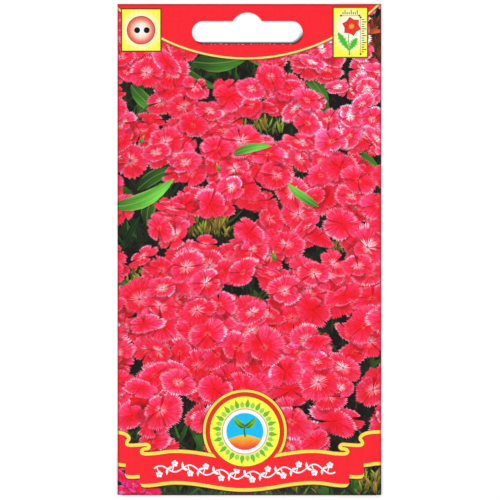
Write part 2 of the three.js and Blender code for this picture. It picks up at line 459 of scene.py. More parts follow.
    def guide_lines(self):
        """Lines on the blank that its mesh follows, where the folded sheet turns or swells."""
        lines = []
        for step in range(FOLD_STEPS + 1):
            place = self.fold_x + FOLD * step / FOLD_STEPS
            for side in (-1, 1):
                lines.append([(side * place, self.fold_y), (side * place, HALF_HEIGHT)])
            low = self.fold_y - FOLD * step / FOLD_STEPS
            lines.append([(-self.flap_half, low), (self.flap_half, low)])
        for x in (self.lap_edge - self.ramp_length, self.lap_edge):
            lines.append([(x, self.fold_y), (x, HALF_HEIGHT)])
        for y in (self.flap_edge, self.flap_edge + self.ramp_length, self.pouch_top):
            lines.append([(self.blank_left, y), (self.blank_right, y)])
        for rise in POUCH_RISES:
            for y in (self.wall_y + rise, self.pouch_top - rise):
                lines.append([(-self.fold_x, y), (self.fold_x, y)])
        return lines

    def pouch_points(self, step):
        """Places spread over the pouch, so that its swell is round."""
        columns = round(2 * self.fold_x / step)
        rows = round((self.pouch_top - self.wall_y) / step)
        for row in range(1, rows):
            for column in range(columns + 1):
                s = lerp(-self.fold_x, self.fold_x, column / columns)
                yield s, lerp(self.wall_y, self.pouch_top, row / rows)


class HangSlot:
    """The hang slot's outline, in millimetres."""

    def __init__(self, sizes):
        top = HALF_HEIGHT - sizes.top_margin / MM
        self.radius = sizes.height / MM / 2
        self.straight = sizes.width / MM / 2 - self.radius
        self.middle = (sizes.shift / MM, top - self.radius)
        self.low = top - 2 * self.radius
        self.bump_radius = sizes.bump_radius / MM
        self.bump_y = self.radius + sizes.bump_rise / MM - self.bump_radius
        self.back_shift = (sizes.back_right / MM, sizes.back_up / MM)

    def outline(self, right=0.0, up=0.0, wear=None):
        """The slot's outline, its lower side a little ragged if wear gives the draws."""
        bump_angle = math.degrees(math.asin((self.radius - self.bump_y) / self.bump_radius))
        lower = [(x, -self.radius) for x in spread(self.straight, 40)]
        if wear:
            lower = [(x, y + wear.uniform(-0.05, 0.05)) for x, y in lower]
        # Both round ends stop short of the lower side, so that no point comes twice
        outline = [
            *lower,
            *arc((self.straight, 0), self.radius, -86, 90, 22),
            *arc((0, self.bump_y), self.bump_radius, bump_angle, 180 - bump_angle, 24),
            *arc((-self.straight, 0), self.radius, 90, 266, 22),
        ]
        return moved(outline, self.middle[0] + right, self.middle[1] + up)

    def on_back(self, folding, shift=1.0):
        """The outline on the blank's back panel, moved that share of the way to the back layer's slot."""
        outline = self.outline(self.back_shift[0] * shift, self.back_shift[1] * shift)
        return [(folding.back_s(x), y) for x, y in outline]

    def inside(self, folding, s, t):
        """How deep in the slot a place on the back panel is, how low, and how far past its right end."""
        right = folding.back_s(s) - self.middle[0]
        up = t - self.middle[1]
        depth = self.radius - math.hypot(max(abs(right) - self.straight, 0), up)
        return depth, -up / self.radius, max(right - self.straight, 0)


# ---------------------------------------------------------------- the print

WHITE = (PAPER_WHITE, PAPER_WHITE, PAPER_WHITE)
FLAT, PETAL, LEAF, GROUND, BARE, CUT = range(6)
# What a printed shadow does to red, green and blue: it turns warmer as it darkens
SHADE_POWERS = (0.9, 2.0, 1.8)


@dataclass
class Layer:
    """One shape of the print. A shadow only darkens what is under it, and a hole is cut out.

    The marking is how strongly an ink shows its eye, ribs or streaks, and the pattern picks its grain.
    """

    kind: str = "ink"
    material: int = FLAT
    tint: object = WHITE
    marking: float = 1.0
    place: object = None
    pattern: float = 0.0
    shade: float = 1.0

    def colour(self, s, t):
        return self.tint(s, t) if callable(self.tint) else self.tint

    def spot(self, s, t):
        on_shape = self.place(s, t) if self.place else (s, t)
        return (*on_shape, self.pattern)


@dataclass
class PrintedBlank:
    """The blank and all that is printed on it, each layer over the ones before it."""

    points: list = field(default_factory=list)
    outlines: list = field(default_factory=list)
    layers: list = field(default_factory=list)

    def put(self, outline, **layer):
        first = len(self.points)
        self.points.extend(outline if loop_area(outline) > 0 else outline[::-1])
        self.outlines.append(list(range(first, len(self.points))))
        self.layers.append(Layer(**layer))

    def ink(self, outline, tint, **layer):
        self.put(outline, tint=tint, **layer)

    def shadow(self, outline, shade):
        self.put(outline, kind="shadow", shade=shade)

    def hole(self, outline):
        self.put(outline, kind="hole")


def radial_tint(centre, reach, *stops):
    """A tint that runs through the colours from middle to rim, each given with its share of the way."""

    def tint(s, t):
        way = math.hypot((s - centre[0]) / reach[0], (t - centre[1]) / reach[1])
        for (start, inner), (end, outer) in zip(stops, stops[1:]):
            if way < end:
                return lerp_each(inner, outer, clamp((way - start) / (end - start)))
        return stops[-1][1]

    return tint


def rising_tint(base, low, high, below, above):
    """A tint that turns from one colour into another between two heights over its base."""

    def tint(_, t):
        return lerp_each(below, above, smooth_step(low, high, t - base))

    return tint


def scaled_tint(tint, factor):
    return tuple(value * factor for value in tint)


def shaded_tint(tint, shade):
    return tuple(value * shade**power for value, power in zip(tint, SHADE_POWERS))


# ---------------------------------------------------------------- the picture on the front

PETALS = 5
# Half the angle that a petal takes up round the eye
PETAL_SPREAD = 0.74
# A petal's side, as the way out to its rim and the share of its spread
PETAL_SIDE = ((0.09, 0.96), (0.34, 0.98), (0.6, 0.98))
# What the light on a petal does to red, green and blue: it turns pinker as it brightens
PETAL_LIGHT = (0.2, 1.9, 1.7)

# The round line under the header: its radius, its lowest point and how far it is off the middle
HEADER_RADIUS = 57.5
HEADER_LOW = 58.0
HEADER_SHIFT = -0.95

# How high up flowers are placed, how many places are tried for a layer of them, and how much closer they
# stand up the packet than across it
PICTURE_TOP = 76.0
PICTURE_TRIES = 10500
PICTURE_SLANT = 1.2
SMALL_GAPS = 64
# Gaps that show the dark ground, each as its middle and how far it reaches across and up
CLEARINGS = (
    (-32, 19, 8, 5.5),
    (-36, 5, 5, 5),
    (-12, 8, 9, 3),
    (-35, -8, 4.5, 3),
    (5, 38, 8, 3),
    (38, 27, 3, 2.5),
    (2, -12, 2.5, 1.6),
    (-34.5, 45.5, 5, 5.5),
    (20, 50, 2.4, 1.6),
    (12.5, 55, 2.5, 2.5),
    (-9, 55.5, 12, 3.5),
    (13, 24, 2.5, 1.5),
    (26, 1, 2.8, 2),
    (26, -29.5, 2.4, 2.4),
    (37, -35, 3, 2.6),
    (-35, -27, 1.5, 1.5),
    (-24.5, -55.5, 2.5, 2),
    (-16.5, -58.5, 5.5, 4),
    (34, -57, 5, 3),
    (-36, -56, 3, 2),
    (40, 66, 5, 8),
    (3, -74.5, 31, 6.5),
    (35, -70, 11, 7.5),
)
# Bunches of buds, each as its middle, how far it spreads across and up, and its number of buds
BUD_BUNCHES = (
    ((-14, 6), (8, 2.5), 90),
    ((-36, -10), (5, 3.2), 56),
    ((33, 19), (4, 2), 34),
    ((4, 36), (6, 1.5), 34),
    ((-26, 43), (4, 2), 26),
    ((28, 0), (3, 1.5), 26),
    ((12, -73), (12, 1.5), 30),
    ((36, -72), (3, 3), 40),
)
# Single leaves under and over the flowers, each as its foot, length, width, angle and bend
LOW_LEAVES = (
    ((-17, 57), 17, 5.5, 0.1, -1.2),
    ((-2, 60), 12, 4.4, -0.5, 0.8),
    ((-36, 50), 14, 4.2, -0.7, -1.0),
    ((16, 54), 13, 4.0, -0.9, 0.9),
    ((30, 30), 12, 3.6, -0.6, 0.8),
    ((-34, 18), 14, 4.0, 0.5, 1.2),
    ((-31, 7), 14, 4.4, 1.25, 1.5),
    ((-37, 38), 20, 3.4, 0.75, -1.6),
    ((-27, 60), 22, 3.2, -0.55, -1.5),
    ((14, 46), 16, 2.8, -0.5, 1.6),
    ((-3, 45), 13, 3.0, 0.6, 1.0),
    ((33, 12), 12, 2.6, 1.9, 1.0),
    ((-40, -9), 10, 2.6, -0.7, 0.7),
    ((3, -46), 11, 2.2, 0.4, 0.9),
)
HIGH_LEAVES = (
    ((21, 13), 12, 2.6, 2.5, 0.5),
    ((-5, 29), 12, 2.7, 0.2, 0.7),
    ((-42, 13), 21, 4.6, 0.42, -2.2),
)
# Flowers in the lowest corner, each as its middle and radius, and the feet of the closed buds
CORNER_FLOWERS = ((-38.5, -69, 3.6), (-32, -74.5, 3.2), (-38.6, -74.4, 3.4), (-35, -71.5, 3.7))
BUD_HEADS = ((-8, 22), (9, -5), (-33, 33))


@dataclass
class Flower:
    """A flower of the picture, turned round its eye and tipped away."""

    centre: tuple
    radius: float
    turn: float
    tilt: float
    tilt_way: float
    tone: tuple
    marking: float
    pattern: float

    def seen(self, a, b):
        """A place on the flower as it is seen, from the flower's middle."""
        x, y = math.cos(self.tilt_way), math.sin(self.tilt_way)
        along = (a * x + b * y) * (self.tilt - 1)
        return a + along * x, b + along * y


def over_clearing(x, y, radius):
    """Whether a flower there would lie over a clearing."""
    return any(
        math.hypot((x - middle_x) / (across + radius / 2), (y - middle_y) / (up + radius / 2)) < 1
        for middle_x, middle_y, across, up in CLEARINGS
    )


def picture_places(settings, rng, gaps):
    """Where the flowers sit and how big each is, crowded but never one on another's eye."""
    far = settings.far_radius / MM
    near = settings.near_radius / MM
    slant = PICTURE_SLANT
    places = []
    for _ in range(PICTURE_TRIES):
        x = rng.uniform(-HALF_WIDTH - 3, HALF_WIDTH + 3)
        y = rng.uniform(-HALF_HEIGHT - 3, PICTURE_TOP)
        distance = (y + HALF_HEIGHT) / (PICTURE_TOP + HALF_HEIGHT)
        radius = lerp(near, far, distance) * rng.uniform(0.8, 1.12)
        if over_clearing(x, y, radius):
            continue
        if any(math.hypot(x - a, (y - b) * slant) < reach + radius * 0.86 for a, b, reach in gaps):
            continue
        gap = settings.crowding
        if all(math.hypot(x - a, (y - b) * slant) > gap * (radius + other) for a, b, other in places):
            places.append((x, y, radius))
    return places


def make_flower(rng, place, light):
    """A flower of its own tone, turned and tipped its own way.

    Flowers are pinker and brighter in a sunlit part at the upper right, and magenta in the lowest corner.
    """
    x, y, radius = place
    tilt = rng.uniform(0.62, 0.9) if rng.random() < 0.8 else rng.uniform(0.36, 0.6)
    light *= rng.uniform(0.92, 1.05)
    sunlit = smooth_step(4, 26, x) * smooth_step(24, 42, y)
    pink = rng.uniform(0.0, 1.0) + 1.5 * sunlit
    light *= 1 + 0.1 * sunlit
    magenta = smooth_step(-58, -68, y) * smooth_step(-24, -30, x)
    tone = (
        light**0.25 * lerp(1, 0.9, magenta),
        light**1.4 * lerp(0.6, 1.3, pink) * lerp(1, 0.45, magenta),
        light**1.3 * lerp(0.75, 1.3, pink) * lerp(1, 1.35, magenta),
    )
    return Flower(
        centre=(x, y),
        radius=radius,
        turn=rng.uniform(0, math.tau),
        tilt=tilt,
        tilt_way=rng.uniform(-0.8, 0.8) + math.pi / 2,
        tone=tone,
        marking=max(rng.choice((0.0, 0.25, 0.6, 0.9, 1.0)), 0.55 * sunlit),
        pattern=rng.uniform(0, 90),
    )


def petal_rim(rng, teeth):
    """A petal's outline, as (reach, angle) round its flower's eye."""
    half = PETAL_SPREAD * rng.uniform(0.74, 1.04)
    droop = rng.uniform(0.02, 0.22)
    lean = rng.uniform(-0.09, 0.09)
    rim = [(reach, -half * part) for reach, part in PETAL_SIDE]
    for step in range(2 * teeth + 1):
        part = step / teeth - 1
        tooth = rng.uniform(0.0, 0.1) if step % 2 else -rng.uniform(0.02, 0.09)
        rim.append((1 - droop * abs(part) ** 3 + lean * part + tooth, half * part * 0.98))
    rim.extend((reach, half * part) for reach, part in PETAL_SIDE[::-1])
    return [(0.02, 0.0), *rim]


def put_petal(blank, rng, flower, angle, reach, teeth, pattern):
    """A toothed petal over its own shadow, in its own shade of the flower's tone."""
    breadth = reach * rng.uniform(0.84, 1.08)
    along = flower.seen(math.cos(angle) * reach, math.sin(angle) * reach)
    across = flower.seen(-math.sin(angle) * breadth, math.cos(angle) * breadth)
    area = along[0] * across[1] - along[1] * across[0]
    centre = flower.centre

    def place(s, t):
        x, y = s - centre[0], t - centre[1]
        return (x * across[1] - y * across[0]) / area, (along[0] * y - along[1] * x) / area

    outline = []
    for out, turn in petal_rim(rng, teeth):
        a, b = out * math.cos(turn), out * math.sin(turn)
        outline.append(tuple(c + u * a + v * b for c, u, v in zip(centre, along, across)))
    corners = (1, 3, 4, 4 + teeth // 2, 4 + teeth, 4 + 3 * teeth // 2, -4, -3, -1)
    grown = [lerp_each(centre, outline[corner], 1.03) for corner in corners]
    blank.shadow(moved(grown, 0.08, -0.15), 0.78)
    lift = 1 + 0.12 * math.sin(angle) + rng.uniform(-0.2, 0.12)
    blush = rng.uniform(0.75, 1.35)
    own = (1, blush, blush)
    tint = tuple(value * lift**power * part for value, power, part in zip(flower.tone, PETAL_LIGHT, own))
    blank.ink(outline, tint, material=PETAL, marking=flower.marking, place=place, pattern=pattern)


def put_flower(blank, rng, flower, teeth, pattern_shift, even=False):
    """A flower with five toothed petals that lap over each other, even ones or loose ones in shadow."""
    for growth, shade in () if even else ((1.1, 0.86), (1.0, 0.72)):
        rim = []
        for step in range(20):
            angle = math.tau * step / 20
            reach = flower.radius * growth * (0.88 + 0.12 * math.cos(PETALS * (angle - flower.turn)))
            rim.append(flower.seen(reach * math.cos(angle), reach * math.sin(angle)))
        blank.shadow(moved(moved(rim, *flower.centre), 0.2, -0.4), shade)
    middle = [flower.seen(x, y) for x, y in disc((0, 0), 0.5 * flower.radius, 10)]
    blank.ink(
        moved(middle, *flower.centre),
        scaled_tint(flower.tone, 0.62),
        material=PETAL,
        marking=0.0,
        place=lambda s, t: (0.3, 0.0),
    )
    order = list(range(PETALS))
    rng.shuffle(order)
    for petal in order:
        angle = flower.turn + math.tau * petal / PETALS
        reach = flower.radius
        if not even:
            angle += rng.uniform(-0.17, 0.17)
            reach *= rng.choice((rng.uniform(0.6, 0.86), 1, 1, rng.uniform(0.88, 1.16)))
        put_petal(blank, rng, flower, angle, reach, teeth, flower.pattern + petal * 3.1 + pattern_shift)


def put_leaf(blank, foot, size, width, angle, bend, tint, pattern=0.0, ribbed=1.0, shadow=True):
    """A lance-shaped leaf from its foot, bent to one side, with its midrib along the middle."""
    along, across = directions(angle)
    half = size / 2
    middle = around(foot, half, angle)

    def place(s, t):
        x, y = s - middle[0], t - middle[1]
        a = (x * along[0] + y * along[1]) / half
        b = (x * across[0] + y * across[1] - bend * (1 - a * a)) / (width / 2)
        return a, b

    outline = []
    steps = 9
    for side in (-1, 1):
        for step in range(steps):
            a = side * -math.cos(math.pi * step / steps)
            b = bend * (1 - a * a) - side * width / 2 * (1 - a * a) ** 0.7 * (1 - 0.25 * a)
            outline.append(tuple(m + u * a * half + v * b for m, u, v in zip(middle, along, across)))
    if shadow:
        blank.shadow(moved(outline, 0.25, -0.4), 0.7)
    blank.ink(outline, tint, material=LEAF, marking=ribbed, place=place, pattern=pattern)


def put_foliage(blank, rng, colours):
    """Dark leaves and stems in the clearings."""
    greens = (colours.moss, colours.moss, scaled_tint(colours.leaf, 0.12))
    for middle_x, middle_y, across, up in CLEARINGS:
        for _ in range(int(6 + across * up / 2.5)):
            angle = rng.uniform(0.15, 0.85) * math.pi
            foot = (middle_x + rng.uniform(-across, across), middle_y - up + rng.uniform(-2, up))
            green = rng.choice(greens)
            tint = scaled_tint(green, rng.uniform(0.4, 2.4))
            size = rng.uniform(5, 13)
            width = size * rng.uniform(0.06, 0.2)
            bend = rng.uniform(-1.4, 1.4)
            put_leaf(blank, foot, size, width, angle, bend, tint, rng.uniform(0, 50), 0.1, False)


def put_buds(blank, rng, centre, reach, count, colours):
    """A bunch of slim buds and bracts that stand side by side."""
    rusty = printed(176, 84, 52)
    for _ in range(count):
        foot = tuple(middle + rng.uniform(-out, out) for middle, out in zip(centre, reach))
        angle = math.pi / 2 + rng.uniform(-0.8, 0.8)
        size = rng.uniform(1.6, 4.6)
        turned = rng.choice((colours.leaf, rusty))
        light = rng.uniform(0.15, 1.05)
        tint = tuple(lerp(a, b, rng.uniform(0, 0.55)) * light for a, b in zip(colours.sepal, turned))
        width = size * rng.uniform(0.1, 0.24)
        bend = rng.uniform(-0.4, 0.4)
        put_leaf(blank, foot, size, width, angle, bend, tint, rng.uniform(0, 50), 0.3)


def put_dry_corner(blank, rng):
    """The thicket of dry brown twigs at the header's right end, with one bright twig."""
    blank.ink(rectangle(34, HEADER_LOW, HALF_WIDTH + 1, 69.5), printed(96, 48, 38))
    browns = (printed(140, 66, 46), printed(92, 40, 40), printed(186, 88, 58))
    for _ in range(90):
        foot = (rng.uniform(35, 41), rng.uniform(54, 72))
        brown = rng.choice(browns)
        tint = scaled_tint(brown, rng.uniform(0.35, 1.1))
        size = rng.uniform(2, 6)
        width = rng.uniform(0.5, 1.2)
        put_leaf(blank, foot, size, width, rng.uniform(0.9, 2.2), 0.3, tint, ribbed=0.1)
    put_leaf(blank, (35.2, 65.9), 5.6, 1.5, 0.06, 0.2, printed(224, 104, 58), ribbed=0.1)


def put_flower_layers(blank, rng, settings, gaps):
    """Three layers of flowers over each other, each brighter than the last and the top one thinned out."""
    for low_light, high_light, teeth, kept in (
        (0.5, 0.74, settings.teeth // 2, 1.0),
        (0.74, 0.94, settings.teeth - 2, 1.0),
        (0.94, 1.06, settings.teeth, 0.62),
    ):
        places = picture_places(settings, rng, gaps)
        rng.shuffle(places)
        places = places[: int(len(places) * kept)]
        for number, place in enumerate(places):
            light = lerp(low_light, high_light, number / len(places))
            put_flower(blank, rng, make_flower(rng, place, light), teeth, number * 7.7)


def put_bud_head(blank, rng, foot, colours):
    """A closed bud, pale at its foot and red at its tip, on a short green cup."""
    angle = math.pi / 2 + rng.uniform(-0.7, 0.7)
    along, _ = directions(angle)
    size = rng.uniform(2.2, 3.2)
    green = scaled_tint(colours.leaf, 0.7)
    put_leaf(blank, foot, size, size * 0.42, angle, 0.1, green, rng.uniform(0, 50), 0.2)
    tip = tuple(f + u * size * 0.6 for f, u in zip(foot, along))
    for part, tint in ((1.0, printed(232, 70, 72)), (0.6, printed(255, 176, 110))):
        put_leaf(blank, tip, size * 0.8 * part, size * 0.4 * part, angle, 0.05, tint, 0.0, 0.0, False)


def put_picture(blank, settings, colours):
    """The bed of pinks, from the dark ground up."""
    rng = random.Random(settings.seed)
    ground = rectangle(-HALF_WIDTH - 1, -HALF_HEIGHT - 1, HALF_WIDTH + 1, HALF_HEIGHT)
    blank.ink(ground, colours.thicket, material=GROUND)
    gaps = []
    for _ in range(SMALL_GAPS):
        y = rng.uniform(-HALF_HEIGHT, HEADER_LOW)
        gaps.append((rng.uniform(-HALF_WIDTH, HALF_WIDTH), y, rng.uniform(0.0, 0.85)))
    put_foliage(blank, rng, colours)
    for bunch in BUD_BUNCHES:
        put_buds(blank, rng, *bunch, colours)
    put_dry_corner(blank, rng)
    for leaf in LOW_LEAVES:
        tint = scaled_tint(colours.leaf, rng.uniform(0.16, 0.5))
        put_leaf(blank, *leaf, tint, rng.uniform(0, 50), 0.35)
    put_flower_layers(blank, rng, settings, gaps)
    for place in CORNER_FLOWERS:
        put_flower(blank, rng, make_flower(rng, place, 1.0), settings.teeth, rng.uniform(0, 50))
    for leaf in HIGH_LEAVES:
        put_leaf(blank, *leaf, scaled_tint(colours.leaf, 0.95), rng.uniform(0, 50), 0.7)
    for x, y in BUD_HEADS:
        put_bud_head(blank, rng, (x + rng.uniform(-2, 2), y + rng.uniform(-2, 2)), colours)


# ---------------------------------------------------------------- the header and the icons

LINE_WIDTH = 0.6
LINE_OUTLINE = 0.16
# The icons' plates on the front, as left, bottom, right and top, and the width of a plate's outline
TWO_YEAR_PLATE = (-38.6, 60.35, -27.0, 72.87)
SIZE_PLATE = (25.6, 58.45, 35.7, 73.3)
PLATE_OUTLINE = 0.38
# A petal of the size icon's flower and a leaf of the vine, along and across from the foot
POINTED_PETAL = (
    (0.05, -0.1),
    (0.42, -0.36),
    (0.66, -0.35),
    (1, 0),
    (0.66, 0.35),
    (0.42, 0.36),
    (0.05, 0.1),
)
POINTED_LEAF = ((0, 0), (0.25, -0.38), (0.55, -0.5), (1, 0), (0.55, 0.5), (0.25, 0.38))


def put_header(blank, middle, left, right, colours):
    """The header field over a panel, with the round line under it."""
    centre = (HEADER_SHIFT + middle, HEADER_LOW + HEADER_RADIUS)

    def above(rim):
        """Everything over a round line with that radius."""
        start, end = (math.degrees(math.asin((x - centre[0]) / rim)) - 90 for x in (left, right))
        top = HALF_HEIGHT + 1
        return [*arc(centre, rim, start, end, 60), (right, top), (left, top)]

    outer = HEADER_RADIUS + LINE_WIDTH / 2
    inner = HEADER_RADIUS - LINE_WIDTH / 2
    blank.shadow(above(outer + 0.6), 0.75)
    blank.ink(above(outer + LINE_OUTLINE), printed(120, 88, 30))
    blank.ink(above(outer), colours.header_line)
    blank.ink(above(inner), colours.rust)
    blank.ink(above(inner - LINE_OUTLINE), colours.field)


def put_icon_ground(blank, plate, colours, glow_middle=None, glow_reach=None):
    """A lemon plate with a thin outline, which glows white in its middle."""
    left, bottom, right, top = plate
    middle = glow_middle or ((left + right) / 2, (bottom + top) / 2)
    reach = glow_reach or ((right - left) * 0.56, (top - bottom) * 0.56)
    rim = PLATE_OUTLINE
    blank.ink(rectangle(left - rim, bottom - rim, right + rim, top + rim), scaled_tint(colours.rust, 0.7))
    blank.ink(rectangle(*plate), colours.lemon)
    pale = printed(255, 254, 236)
    tint = radial_tint(middle, reach, (0, pale), (0.5, pale), (1, colours.lemon))
    for part in (1.0, 0.83, 0.66, 0.5):
        glow = []
        for place in disc((0, 0), 1, 40):
            x, y = (m + p * r * part for m, p, r in zip(middle, place, reach))
            glow.append((clamp(x, left, right), clamp(y, bottom, top)))
        blank.ink(without_repeats(glow), tint)


def put_two_year_icon(blank, colours):
    """Two dots in a ring, the common sign for a plant that lives two years."""
    left, bottom, _, _ = TWO_YEAR_PLATE
    centre = (left + 5.76, bottom + 6.21)
    radius = 4.12
    put_icon_ground(blank, TWO_YEAR_PLATE, colours, centre, (6.6, 6.6))
    blank.ink(disc(centre, radius + 0.2), printed(150, 62, 46))
    stops = (
        (0.0, printed(255, 255, 250)),
        (0.3, printed(255, 246, 236)),
        (0.53, printed(250, 228, 204)),
        (0.7, printed(252, 180, 158)),
        (0.82, printed(254, 124, 114)),
        (1.0, printed(236, 88, 82)),
    )
    tint = radial_tint(centre, (radius, radius), *stops)
    for part, _ in stops[:0:-1]:
        blank.ink(disc(centre, radius * part, 40), tint)
    for right_of_middle in (-1.2, 1.7):
        blank.ink(disc((centre[0] + right_of_middle, centre[1]), 0.9, 28), printed(22, 22, 32))


def put_measure(blank, start, end, tick_side, marks, colours):
    """A thin measuring line with a dot at each end, and ruler marks on one side."""
    run = math.dist(start, end)
    along = tuple((b - a) / run for a, b in zip(start, end))
    across = (-along[1] * tick_side, along[0] * tick_side)
    blank.ink(stroke([start, end], 0.14), printed(150, 142, 70))
    for place in (start, end):
        blank.ink(disc(place, 0.3, 12), colours.rust_dark)
    for mark in range(marks):
        way = run * (mark + 1) / (marks + 1)
        foot = tuple(a + u * way + v * 0.35 for a, u, v in zip(start, along, across))
        size = 1.35 if mark % 3 == 1 else 0.75
        tip = tuple(f + v * size for f, v in zip(foot, across))
        blank.ink(stroke([foot, tip], 0.24), colours.rust_dark)


def put_pictogram_flower(blank, centre, radius):
    """A simple flower head with six pointed petals."""
    petals = 6
    for petal in (0, 2, 4, 1, 3, 5):
        angle = math.radians(42 + 360 * petal / petals)
        for growth, tint in ((1.0, printed(170, 44, 24)), (0.86, printed(240, 60, 54))):
            shape = []
            for out, aside in POINTED_PETAL:
                shape.append((lerp(0.5, out, growth) * radius, aside * growth * radius))
            blank.ink(laid(shape, centre, angle), tint)
    blank.ink(disc(centre, radius * 0.3, 20), printed(250, 128, 50))
    blank.ink(disc(centre, radius * 0.17, 16), printed(240, 176, 84))


def put_toothed_leaf(blank, foot, size, width, angle):
    """A simple leaf with a toothed edge that stands pale round its green middle."""
    along, across = directions(angle)
    steps = 12
    for growth, tint in ((1.0, printed(176, 224, 112)), (0.68, printed(74, 196, 62))):
        shape = []
        for side in (1, -1):
            for step in range(steps):
                way = (step if side > 0 else steps - step) / steps
                tooth = 0.72 if step % 2 == 0 else 1.12
                aside = side * width / 2 * math.sin(math.pi * (0.06 + 0.9 * way) ** 1.25) * tooth * growth
                shape.append(tuple(f + u * way * size + v * aside for f, u, v in zip(foot, along, across)))
        blank.ink(shape, tint)


def put_size_icon(blank, colours):
    """A small flower with two leaves, beside a measuring line for its width and one for its height."""
    left, bottom, right, top = SIZE_PLATE
    put_icon_ground(blank, SIZE_PLATE, colours, (left + 5.0, bottom + 8.0), (5.8, 7.3))
    head = (left + 5.4, bottom + 9.25)
    foot = (left + 4.75, bottom + 0.5)
    stem = curve_through([foot, (foot[0], foot[1] + 2.2), (foot[0] - 0.3, foot[1] + 5.6), head])
    blank.ink(stroke(stem, 0.4, 0.2), printed(120, 170, 60))
    for lean, size, rise in ((0.56, 6.6, 1.3), (-0.55, 4.4, 1.5)):
        put_toothed_leaf(blank, (foot[0], foot[1] + rise), size, 2.3, math.pi / 2 + lean)
    put_pictogram_flower(blank, head, 2.95)
    put_measure(blank, (left + 2.2, top - 2.35), (right - 2.35, top - 2.35), 1, 8, colours)
    put_measure(blank, (right - 1.95, bottom + 0.85), (right - 1.95, top - 2.85), -1, 15, colours)


# ---------------------------------------------------------------- the ribbon and the badge

# The ribbon's middle, half the length of its main panel, its height and the width of its yellow edge
RIBBON_MIDDLE = -1.44
RIBBON_HALF = 31.75
RIBBON_HEIGHT = 10.6
RIBBON_EDGE = 1.05

# The shapes of the ribbon's right half, as millimetres right of the ribbon's middle and above the packet's
# middle. The first one is its upper edge, from the main panel's end through both folds to the packet's side
RIBBON_FOLDS = (
    (27.4, -61.8),
    (29.3, -61.95),
    (30.7, -61.85),
    (31.25, -61.4),
    (31.1, -60.85),
    (30.4, -60.45),
    (29.3, -60.3),
    (28.95, -59.7),
    (29.6, -59.1),
    (31.0, -59.15),
    (32.9, -59.3),
    (34.6, -59.35),
    (35.6, -59.1),
    (35.75, -58.55),
    (35.5, -58.0),
    (35.15, -57.5),
    (35.15, -56.9),
    (35.85, -56.2),
    (37.0, -55.7),
    (38.7, -55.4),
    (40.5, -55.3),
    (42.3, -55.3),
)
TAIL_LOW = ((36.1, -65.95), (37.8, -65.75), (39.6, -65.45), (42.3, -65.3))
TAIL = (*TAIL_LOW, *RIBBON_FOLDS[:-7:-1], (35.9, -58.2), (36.1, -60))
TURNED_LOW = ((31.85, -69.35), (32.6, -69.4), (34.0, -69.5), (35.3, -69.42))
TURNED = ((31.0, -69.35), *TURNED_LOW, (36.25, -68.5), (36.25, -60), *RIBBON_FOLDS[12:8:-1], (31.0, -62))
TURNED_TIP = ((35.2, -69.45), (35.8, -69.2), (36.12, -68.7), (36.3, -67.8), (35.9, -68.25), (35.2, -68.37))
FOLD_SHADES = (
    ((28.7, -60.4), (31.2, -60.5), (31.2, -61.6), (28.5, -61.9)),
    ((35.3, -57.1), (36.6, -57.25), (35.3, -57.7)),
)
# The tip of the main panel's lower edge, above that edge's end
PANEL_TIP = ((30.45, 0), (31.2, 0.3), (31.75, 1.2), (31.2, 1.08), (30.45, RIBBON_EDGE))

BADGE_MIDDLE = (-1.35, -55.1)
BADGE_RADIUS = 10.6
SKY_RADIUS = 5.6


def on_ribbon(points, side):
    """Points given for the ribbon's right half, put on the half of that side."""
    return [(RIBBON_MIDDLE + side * x, y) for x, y in points]


def ribbon_low(across):
    """Height of the ribbon's lower edge at that distance from its middle."""
    across = abs(across)
    middle_dip = 0.5 * (1 + math.cos(math.pi * clamp(across / 21)))
    return -71.2 - 2.2 * middle_dip - 0.9 * smooth_step(21, 30, across)


def put_ribbon(blank, colours):
    """The folded ribbon across the bottom: two tails, two turned panels and the main panel."""
    tips = []
    for side in (-1, 1):
        tips.append(on_ribbon(TURNED_TIP, side))
        tips.append(on_ribbon(moved(PANEL_TIP, 0, ribbon_low(RIBBON_HALF)), side))
        shapes = [on_ribbon(TAIL, side), on_ribbon(TURNED, side)]
        for shape in shapes:
            blank.shadow(moved(shape, 0, -0.45), 0.4)
        for shape in shapes:
            blank.ink(shape, colours.field)
        for shape in FOLD_SHADES:
            blank.ink(on_ribbon(shape, side), printed(176, 40, 20))
    low = [(RIBBON_MIDDLE + x, ribbon_low(x)) for x in spread(RIBBON_HALF - 1.3, 60)]
    high = moved(low, 0, RIBBON_HEIGHT - RIBBON_EDGE / 2)
    left_end, right_end = (on_ribbon([(RIBBON_HALF, -61.6)], side) for side in (-1, 1))
    body = [*low, *tips[3][1:3], *right_end, *high[::-1], *left_end, *tips[1][2:0:-1]]
    blank.shadow(moved(body, 0, -0.45), 0.4)
    blank.ink(body, colours.field)
    strands = ribbon_strands(low)
    for growth, tint in ((0.3, colours.rust), (0, colours.edging)):
        for strand in strands:
            blank.ink(stroke(strand, RIBBON_EDGE + growth), tint)
        for tip in tips:
            blank.ink(moved(tip, 0, growth / 2), tint)
    put_ribbon_vine(blank)


def ribbon_strands(low):
    """The lines that the ribbon's yellow edges follow."""
    half_edge = RIBBON_EDGE / 2
    upper = spread(RIBBON_FOLDS[0][0] + 0.3, 60)
    strands = [
        moved(low, 0, half_edge),
        [(RIBBON_MIDDLE + x, ribbon_low(x) + RIBBON_HEIGHT - half_edge) for x in upper],
    ]
    for side in (-1, 1):
        strands.append(curve_through(on_ribbon(RIBBON_FOLDS, side), 4))
        strands.append(moved(on_ribbon(TAIL_LOW, side), 0, half_edge))
        strands.append(curve_through(moved(on_ribbon(TURNED_LOW, side), 0, half_edge), 4))
    return strands


